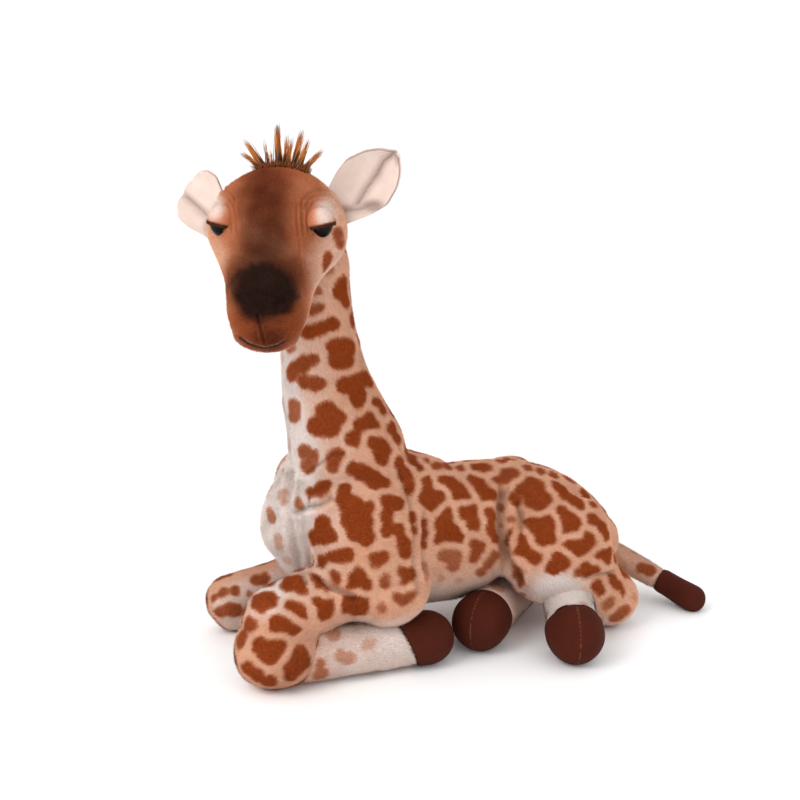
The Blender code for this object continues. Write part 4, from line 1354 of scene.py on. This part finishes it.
def paint_head(made, folds, seams):
    places, ways = places_of(made), ways_of(made)
    pixels, _ = eye.seen(places)
    seen = smooth(-0.15, 0.25, towards_eye(ways))
    pattern = Pattern(tree_of(made), cheek_patches)
    behind = places[ways @ np.array(head_forward) < -0.1]
    chooser = np.random.default_rng(3)
    pattern.spread(behind, np.full(len(behind), 0.9), 0.0170, 0.0095, chooser, most=24)
    cloud = lattice_noise(places, 0.010, 21)
    grain = lattice_noise(places, 0.0040, 22)
    face = np.maximum(oval(pixels, 268, 205, 60, 66, 0.18), oval(pixels, 266, 292, 44, 66, 0.14))
    cheek = oval(pixels, 342, 272, 29, 44, 0.35)
    tan = np.clip(face * (1 - cheek * 0.9) * seen * (0.95 + 0.15 * cloud), 0, 1)
    crown = oval(pixels, 268, 184, 34, 34, 0.7) * 0.80
    muzzle = oval(pixels, 268, 322, 38, 32, 0.40) * 0.90
    right_side = oval(pixels, 304, 238, 15, 44, 0.7) * 0.35
    rust = np.maximum.reduce((crown, muzzle, right_side)) * seen
    bridge = oval(pixels, 265, 226, 24, 66, 0.50) * 0.85
    beside = oval(pixels, 266, 280, 40, 30, 0.40) * 0.75
    lip = oval(pixels, 270, 338, 15, 13, 0.6) * 0.70
    dark = np.maximum.reduce((bridge, beside, lip))
    brown_and_shade = np.clip(dark * (1 + 0.25 * cloud), 0, 1) * seen
    # Painted shade in the brow wrinkles, brow folds and seam grooves joins the airbrushed darks
    brown_and_shade = np.maximum.reduce((brown_and_shade, folds * 0.30, seams * 0.75))
    ragged = pixels + np.stack((cloud + grain, grain - cloud), 1) * 2.5
    black = oval(ragged, 264, 292, 34, 31, 0.26) * seen
    upward = oval(ragged, 262, 262, 28, 32, 0.7) * 0.50 * seen
    black = np.maximum(black * 0.96, upward)
    white = np.maximum(*(white_spot(pixels, side) for side in hands))
    jaw = smooth(-0.2, -0.7, ways[:, 2])
    pale = np.maximum.reduce((white, cheek * 0.2, jaw * (1 - seen) * 0.8))
    patch = pattern.masks(places) * (1 - face * seen * (1 - cheek))
    clear = 1 - white
    put_coat_masks(made, patch * clear, pale, brown_and_shade * clear, black, tan * clear, rust * clear)
    finishes["coat"].wear(made)


# Eyes, their lids, and the mouth thread
eye_radius = 0.0105
eye_sink = 0.0045
eye_share = 0.42
eye_turn = math.radians(53.0)
eye_gap = 0.0004
lid_thick = 0.0016
lid_tilt = 0.35
lash_rim = 0.0022
lid_drop = 0.0022
thread_radius = 0.0006
thread_lift = 0.0007


def head_place(side, share, turn, lift=0.0):
    """A point on the head, the turn measured from its crown towards one side."""
    return head_form().skin_point(share, math.pi / 2 + hands[side] * turn, lift)


def ball(name, place, radius, rings):
    bpy.ops.mesh.primitive_uv_sphere_add(segments=64, ring_count=rings, radius=radius, location=place)
    made = bpy.context.active_object
    made.name = name
    bpy.ops.object.transform_apply(location=True, rotation=True, scale=True)
    return made


def moulded_eye(side):
    place, out = head_place(side, eye_share, eye_turn, -eye_sink)
    made = ball(f"eye_ball_{side}", place, eye_radius, 40)
    bpy.ops.object.shade_smooth()
    away = places_of(made) - np.array(place)
    look = (Vector(out) + Vector(eye.back) * 0.5 + head_forward * 0.5).normalized()
    turn = np.degrees(np.arccos(np.clip(away @ np.array(look) / eye_radius, -1, 1)))
    put_mask(made, "iris", smooth(20, 26, turn) * smooth(50, 40, turn))
    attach(made, "head")
    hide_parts(f"eye_{side}")
    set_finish(made, "eye_plastic")
    return finishes["eye"].wear(made)


def upper_lid(side):
    """A cap of cloth over the upper half of an eye, with a dark rim."""
    place, out = head_place(side, eye_share, eye_turn, -eye_sink)
    made = ball(f"lid_{side}", place, eye_radius + eye_gap, 48)
    up = ((sky - out * out.dot(sky)).normalized() + out * lid_tilt).normalized()
    bpy.ops.object.mode_set(mode="EDIT")
    bpy.ops.mesh.select_all(action="SELECT")
    edge = place - up * lid_drop
    bpy.ops.mesh.bisect(plane_co=edge, plane_no=up, clear_inner=True)
    bpy.ops.object.mode_set(mode="OBJECT")
    wall = made.modifiers.new("cloth", "SOLIDIFY")
    wall.thickness = lid_thick
    wall.offset = 1.0
    bpy.ops.object.modifier_apply(modifier=wall.name)
    bpy.ops.object.shade_smooth()
    places = places_of(made)
    over = (places - np.array(place)) @ np.array(up) + lid_drop
    rim = smooth(lash_rim * 1.4, lash_rim * 0.6, over)
    pixels, _ = eye.seen(places)
    white = white_spot(pixels, side) * (1 - rim)
    put_coat_masks(made, 0.0, white, brown_and_shade=rim * 0.85, black=rim * 0.70, tan=(1 - white) * 0.95)
    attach(made, "head")
    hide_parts(f"eyelid_{side}")
    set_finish(made, "lid_cloth")
    return finishes["coat"].wear(made)


def stitched_mouth(head_coat):
    """The dark thread along the mouth, laid in its groove."""
    tree = tree_of(head_coat)
    curve = bpy.data.curves.new("mouth_stitches", "CURVE")
    curve.dimensions = "3D"
    curve.bevel_depth = thread_radius
    curve.bevel_resolution = 3
    curve.use_fill_caps = True
    line = curve.splines.new("NURBS")
    spots = []
    pixels = mouth_line[0]
    for (x, y), (x2, y2) in zip(pixels, pixels[1:]):
        for share in (0.0, 0.34, 0.67):
            place, way = eye.spot(tree, x + (x2 - x) * share, y + (y2 - y) * share)
            if place:
                spots.append(place + way * thread_lift)
    line.points.add(len(spots) - 1)
    for point, spot in zip(line.points, spots):
        point.co = (*spot, 1.0)
    line.order_u = 3
    line.use_endpoint_u = True
    select_only(linked("mouth_stitches", curve))
    bpy.ops.object.convert(target="MESH")
    made = bpy.context.active_object
    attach(made, "head")
    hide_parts("mouth_thread")
    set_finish(made, "thread")
    return finishes["thread"].wear(made)


# Ears, cupped leaves of cloth with a velvet lining
ear_length = 0.066
ear_width = 0.046
ear_cup = 0.012
ear_root = 0.006
ear_raised = {"left": math.radians(42.0), "right": math.radians(28.0)}
ear_back = {"left": math.radians(10.0), "right": math.radians(55.0)}
ear_share = 0.17
ear_turn = {"left": math.radians(74.0), "right": math.radians(98.0)}
ear_thick = 0.0022
lining_thick = 0.0012
lining_inset = 0.035
lining_gap = 0.0002
ear_fold_depth = 0.0040
ear_fold_width = 0.0030
ear_alongs = (-0.10, 0.08, 0.30, 0.52, 0.74, 0.90, 0.98)
ear_halves = (0.46, 0.62, 0.88, 1.00, 0.80, 0.48, 0.22)
ear_folds = {
    "left": (
        ((394, 153), (384, 161), (377, 175), (368, 187), (358, 204)),
        ((342, 211), (355, 210), (367, 208), (376, 207)),
    ),
    "right": (((184, 195), (192, 202), (200, 209), (205, 214)),),
}
ear_shades = {
    "left": ((373, 206, 11, 6), (398, 154, 4, 10)),
    "right": ((214, 252, 8, 6), (210, 226, 6, 10)),
}


def ear_frame(side):
    """Where an ear is rooted, and its directions out, across and face."""
    root, out = head_place(side, ear_share, ear_turn[side], -ear_root)
    back, raised = ear_back[side], ear_raised[side]
    away = head_left * (hands[side] * math.cos(back)) - head_forward * math.sin(back)
    out = (away * math.cos(raised) + sky * math.sin(raised)).normalized()
    face = (head_forward - out * head_forward.dot(out)).normalized()
    return root, out, face.cross(out), face


def ear_leaf(name, side, low, high, inset):
    """A closed curved leaf between two lifts off an ear's sheet, thin at its rim."""
    root, out, across, face = ear_frame(side)
    rows, columns = 44, 41
    shell = bmesh.new()
    sheets = []
    for lift in (low, high):
        sheet = []
        for i in range(rows):
            share = i / (rows - 1)
            along = ear_alongs[0] + (0.99 - inset - ear_alongs[0]) * (1 - (1 - share) ** 1.5)
            wide = np.interp(along + inset, ear_alongs, ear_halves) * (1 - 1.2 * inset)
            wide *= math.sqrt(max(1 - smooth(0.80, 1.02, along + inset) ** 2 * 0.8, 0.02))
            row = []
            for j in range(columns):
                over = math.sin((j / (columns - 1) - 0.5) * math.pi)
                middle = (low + high) / 2
                rim = math.sqrt(max(1 - over**6, 0.0)) * math.sqrt(max(1 - share**14, 0.0))
                up = middle + (lift - middle) * max(rim, 0.12)
                place = root + out * (along * ear_length) + across * (over * wide * ear_width / 2)
                place += face * (over * over * wide * ear_cup + up)
                row.append(shell.verts.new(place))
            sheet.append(row)
        sheets.append(sheet)
    lower, upper = sheets
    for i in range(rows - 1):
        for j in range(columns - 1):
            for sheet in sheets:
                shell.faces.new((sheet[i][j], sheet[i][j + 1], sheet[i + 1][j + 1], sheet[i + 1][j]))
    rim = [(0, j) for j in range(columns - 1)] + [(i, columns - 1) for i in range(rows - 1)]
    rim += [(rows - 1, j) for j in range(columns - 1, 0, -1)] + [(i, 0) for i in range(rows - 1, 0, -1)]
    for (i, j), (k, m) in zip(rim, rim[1:] + rim[:1]):
        shell.faces.new((lower[i][j], lower[k][m], upper[k][m], upper[i][j]))
    bmesh.ops.recalc_face_normals(shell, faces=shell.faces)
    return made_object(name, shell)


def ear(side):
    """The outer cloth of an ear, with its lining beside it, folded alike."""
    back = ear_leaf(f"ear_{side}_cloth", side, 0.0, ear_thick, 0.0)
    low = ear_thick + lining_gap
    lining = ear_leaf(f"ear_{side}_velvet", side, low, low + lining_thick, lining_inset)
    for made in (back, lining):
        relaxed(made, 3)
        creases = ear_fold(made, side)
        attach(made, f"ear_{side}")
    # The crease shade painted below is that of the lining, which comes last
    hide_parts(f"ear_{side}_back")
    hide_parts(f"ear_{side}_lining")
    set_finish(back, "ear_cloth")
    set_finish(lining, "ear_velvet")
    cloud = lattice_noise(places_of(back), 0.02, 15)
    put_coat_masks(back, 0.0, 0.88 + 0.12 * cloud, tan=0.05)
    finishes["coat"].wear(back)
    pixels, _ = eye.seen(places_of(lining))
    shade = np.zeros(len(pixels))
    for x, y, wide, tall in ear_shades[side]:
        shade = np.maximum(shade, oval(pixels, x, y, wide, tall, 0.6) * 0.55)
    # Painted shade along the folds and under the folded lobes
    put_mask(lining, "brown_and_shade", np.maximum(shade, creases * 0.62))
    finishes["ear"].wear(lining)
    return back


def ear_fold(made, side):
    """Draws both sides of a leaf back along its folds, and gives the strength of the shade painted along
    them.
    """
    places = places_of(made)
    creases = np.zeros(len(places))
    pixels, far = eye.seen(places)
    face = np.array(ear_frame(side)[3])
    for line in ear_folds[side]:
        line = np.array(line, float)
        nearest = np.full(len(places), 1.0)
        for a, b in zip(line, line[1:]):
            way = b - a
            share = np.clip((pixels - a) @ way / (way @ way), 0, 1)
            gap = np.linalg.norm(pixels - a - share[:, None] * way, axis=1) * far / eye.reach
            nearest = np.minimum(nearest, gap)
        fold = ear_fold_depth * np.exp(-((nearest / ear_fold_width) ** 2))
        places = places - face * fold[:, None]
        shade = 0.45 * np.exp(-((nearest / 0.0032) ** 2)) + 0.55 * np.exp(-((nearest / 0.0009) ** 2))
        creases = np.maximum(creases, shade)
    put_places(made, places)
    return creases


# The tuft: locks drawn together towards their tips
tuft_locks = (
    (239, 151, 262, 46),
    (243, 139, 264, 80),
    (262, 139, 268, 16),
    (270, 150, 272, 20),
    (277, 123, 279, 150),
    (287, 133, 284, 30),
    (292, 137, 287, 44),
    (303, 128, 292, 64),
    (311, 136, 298, 44),
    (324, 149, 302, 54),
)
tuft_share = 0.16
tuft_deep = 0.015
crown_span = (256, 308)
crown_middle = 281
crown_half = 28
hair_width = 0.00070
under_hairs = 900


def tuft(head_coat):
    """Long hair on the crown, each hair a narrow blade that bends up from its root."""
    chooser = np.random.default_rng(12)
    tree = tree_of(head_coat)
    hairs = []
    middle, _ = head_form().skin_point(tuft_share, math.pi / 2)
    pixels, far = eye.seen(np.array([middle]))

    def root_at(x, back):
        """The place on the crown above a column of the picture, some way back on the head."""
        over = (x - pixels[0, 0]) * far[0] / eye.reach
        place = middle + head_left * over + head_forward * (tuft_deep / 2 - back)
        return tree.ray_cast(place + sky * 0.05, -sky)[:2]

    for tip_x, tip_y, base_x, count in tuft_locks:
        base = root_at(base_x, tuft_deep / 2)[0]
        ray = eye.ray(tip_x, tip_y)
        reach = (base - eye.place).dot(eye.back) / ray.dot(eye.back)
        tip = eye.place + ray * reach
        lean = chooser.normal(scale=0.004)
        for _ in range(count):
            root, out = root_at(base_x + chooser.normal(scale=1.7), chooser.uniform(0, tuft_deep))
            if root is None:
                continue
            short = 1 - abs(chooser.normal(scale=0.16))
            end = Vector(chooser.normal(scale=0.0011, size=3)) + tip - head_forward * lean
            end = root + (end - root) * short
            hairs.append((root, out, end, chooser.random()))
    for _ in range(under_hairs):
        x = chooser.uniform(*crown_span)
        root, out = root_at(x, chooser.uniform(-0.002, tuft_deep + 0.002))
        if root is None:
            continue
        fan = head_left * ((x - crown_middle) / crown_half * 0.8 + chooser.normal(scale=0.35))
        way = (sky + fan + head_forward * chooser.normal(scale=0.45)).normalized()
        hairs.append((root, out, root + way * chooser.uniform(0.003, 0.007), chooser.random() * 0.4 - 0.3))
    made = hair_blades("tuft_hair", hairs, chooser)
    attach(made, "head")
    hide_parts("tuft")
    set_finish(made, "hair")
    return finishes["hair"].wear(made)


def hair_blades(name, hairs, chooser):
    corners, tips, strands, faces = [], [], [], []
    for root, out, end, strand in hairs:
        way = end - root
        side = way.cross(Vector(chooser.normal(size=3))).normalized()
        first = len(corners)
        for share, wide in ((0.0, 1.0), (0.35, 0.9), (0.7, 0.6)):
            place = root + way * share + (out - way.normalized()) * (0.0012 * math.sin(share * math.pi))
            place = place - out * (0.001 * (1 - share))
            corners += [place - side * (hair_width * wide / 2), place + side * (hair_width * wide / 2)]
            tips += [share, share]
        corners.append(end)
        tips.append(1.0)
        strands += [strand] * 7
        for step in (0, 2):
            faces.append((first + step, first + step + 1, first + step + 3, first + step + 2))
        faces.append((first + 4, first + 5, first + 6))
    mesh = bpy.data.meshes.new(name)
    mesh.from_pydata([tuple(corner) for corner in corners], [], faces)
    mesh.shade_smooth()
    made = linked(name, mesh)
    put_mask(made, "tip", tips)
    put_mask(made, "strand", np.clip(strands, 0, 1))
    return made


# How the pile lies
def trunk_comb(places):
    """Down the neck, back along the body and forward down the forelegs."""
    local = places - np.array(layout)
    neck = smooth(0.16, 0.20, local[:, 2])[:, None]
    fore = (smooth(0.10, 0.06, local[:, 1]) * smooth(0.10, 0.07, local[:, 2]))[:, None]
    body = np.array((0.0, 1.0, -0.5))
    way = body * (1 - fore) + np.array((0.0, -1.0, -0.3)) * fore
    return way * (1 - neck) + np.array((0.0, 0.1, -1.0)) * neck


def head_comb(places):
    """Up from the nose and back over the crown."""
    return np.broadcast_to(np.array(sky * 0.6 - head_forward), places.shape).copy()


finishes = {
    "coat": coat_finish(),
    "pile": pile_finish(),
    "velvet": velvet_finish(),
    "ear": ear_finish(),
    "hair": hair_finish(),
    "eye": eye_finish(),
    "thread": thread_finish(),
}

trunk = paint_coat(*coat())
pile_on("trunk_pile", trunk, "trunk", trunk_comb)
face = head()
pile_on("head_pile", face, "head", head_comb, length=head_pile, density=head_density)
for side in hands:
    moulded_eye(side)
    pile_on(f"lid_pile_{side}", upper_lid(side), "head", head_comb, length=lid_pile)
    pile_on(f"ear_pile_{side}", ear(side), f"ear_{side}", head_comb, length=ear_pile)
stitched_mouth(face)
tuft(face)
shank_marks = forearm_patches + shank_patches

# Each leg's velvet end, its form, where along it the end is sewn on and how many degrees the
# seam leans, its patches, and its paleness at two columns of the picture
leg_facts = {
    "shank_left": ("hoof_front_left", shank_form("left"), 0.78, 22.0, shank_marks, ((285, 350), (0.0, 0.9))),
    "shank_right": ("hoof_front_right", shank_form("right"), 0.78, 22.0, (), ((200, 300), (0.0, 0.9))),
    "hind_leg_left": (
        "hoof_hind_left", hind_leg_form("left"), 0.66, 0.0, hind_leg_patches["left"],
        ((500, 600), (1.0, 1.0)),
    ),
    "hind_leg_right": (
        "hoof_hind_right", hind_leg_form("right"), 0.84, 0.0, hind_leg_patches["right"],
        ((480, 540), (0.75, 0.6)),
    ),
    "tail": ("tail_tip", tail_form(), 0.66, 0.0, tail_patches, ((610, 655), (0.15, 0.4))),
}
for body, (hoof_node, form, seam, lean, patches, pale) in leg_facts.items():
    cloth = leg(body, hoof_node, form, seam, lean, patches, pale)
    root, radius, _ = form.keys[0]
    bare = (root, radius * bare_knee) if body.startswith("shank") else None
    length = far_leg_pile if body == "hind_leg_right" else pile_length
    pile_on(f"{body}_pile", cloth, body, along_comb(form), length=length, bare=bare)

# Floor, light and camera
bpy.ops.mesh.primitive_plane_add(size=60.0, location=(0, 0, 0))
floor = bpy.context.active_object
floor.name = "floor"
Finish("floor", Roughness=0.9, Base_Color=(0.97, 0.97, 0.97, 1.0)).wear(floor)

world = bpy.data.worlds.new("studio")
world.use_nodes = True
backdrop = world.node_tree.nodes["Background"]
backdrop.inputs["Color"].default_value = (1.0, 1.0, 1.0, 1.0)
backdrop.inputs["Strength"].default_value = 1.05
bpy.context.scene.world = world
bpy.context.scene.view_settings.view_transform = "Standard"

light_target = Vector((0, 0, 0.2))


def soft_light(name, place, size, power):
    light = bpy.data.lights.new(name, "AREA")
    light.size = size
    light.energy = power
    made = linked(name, light)
    made.location = place
    made.rotation_euler = (light_target - Vector(place)).to_track_quat("-Z", "Y").to_euler()


soft_light("key", (0.6, -1.7, 1.7), 1.2, 21.0)
soft_light("fill", (1.9, 0.6, 1.2), 1.6, 4.0)

camera = bpy.data.cameras.new("camera")
camera.lens = camera_lens
camera.sensor_width = film_width
camera_object = linked("camera", camera)
turn = Matrix((eye.right, eye.up, eye.back)).transposed().to_4x4()
camera_object.matrix_world = Matrix.Translation(eye.place) @ turn
bpy.context.scene.camera = camera_object
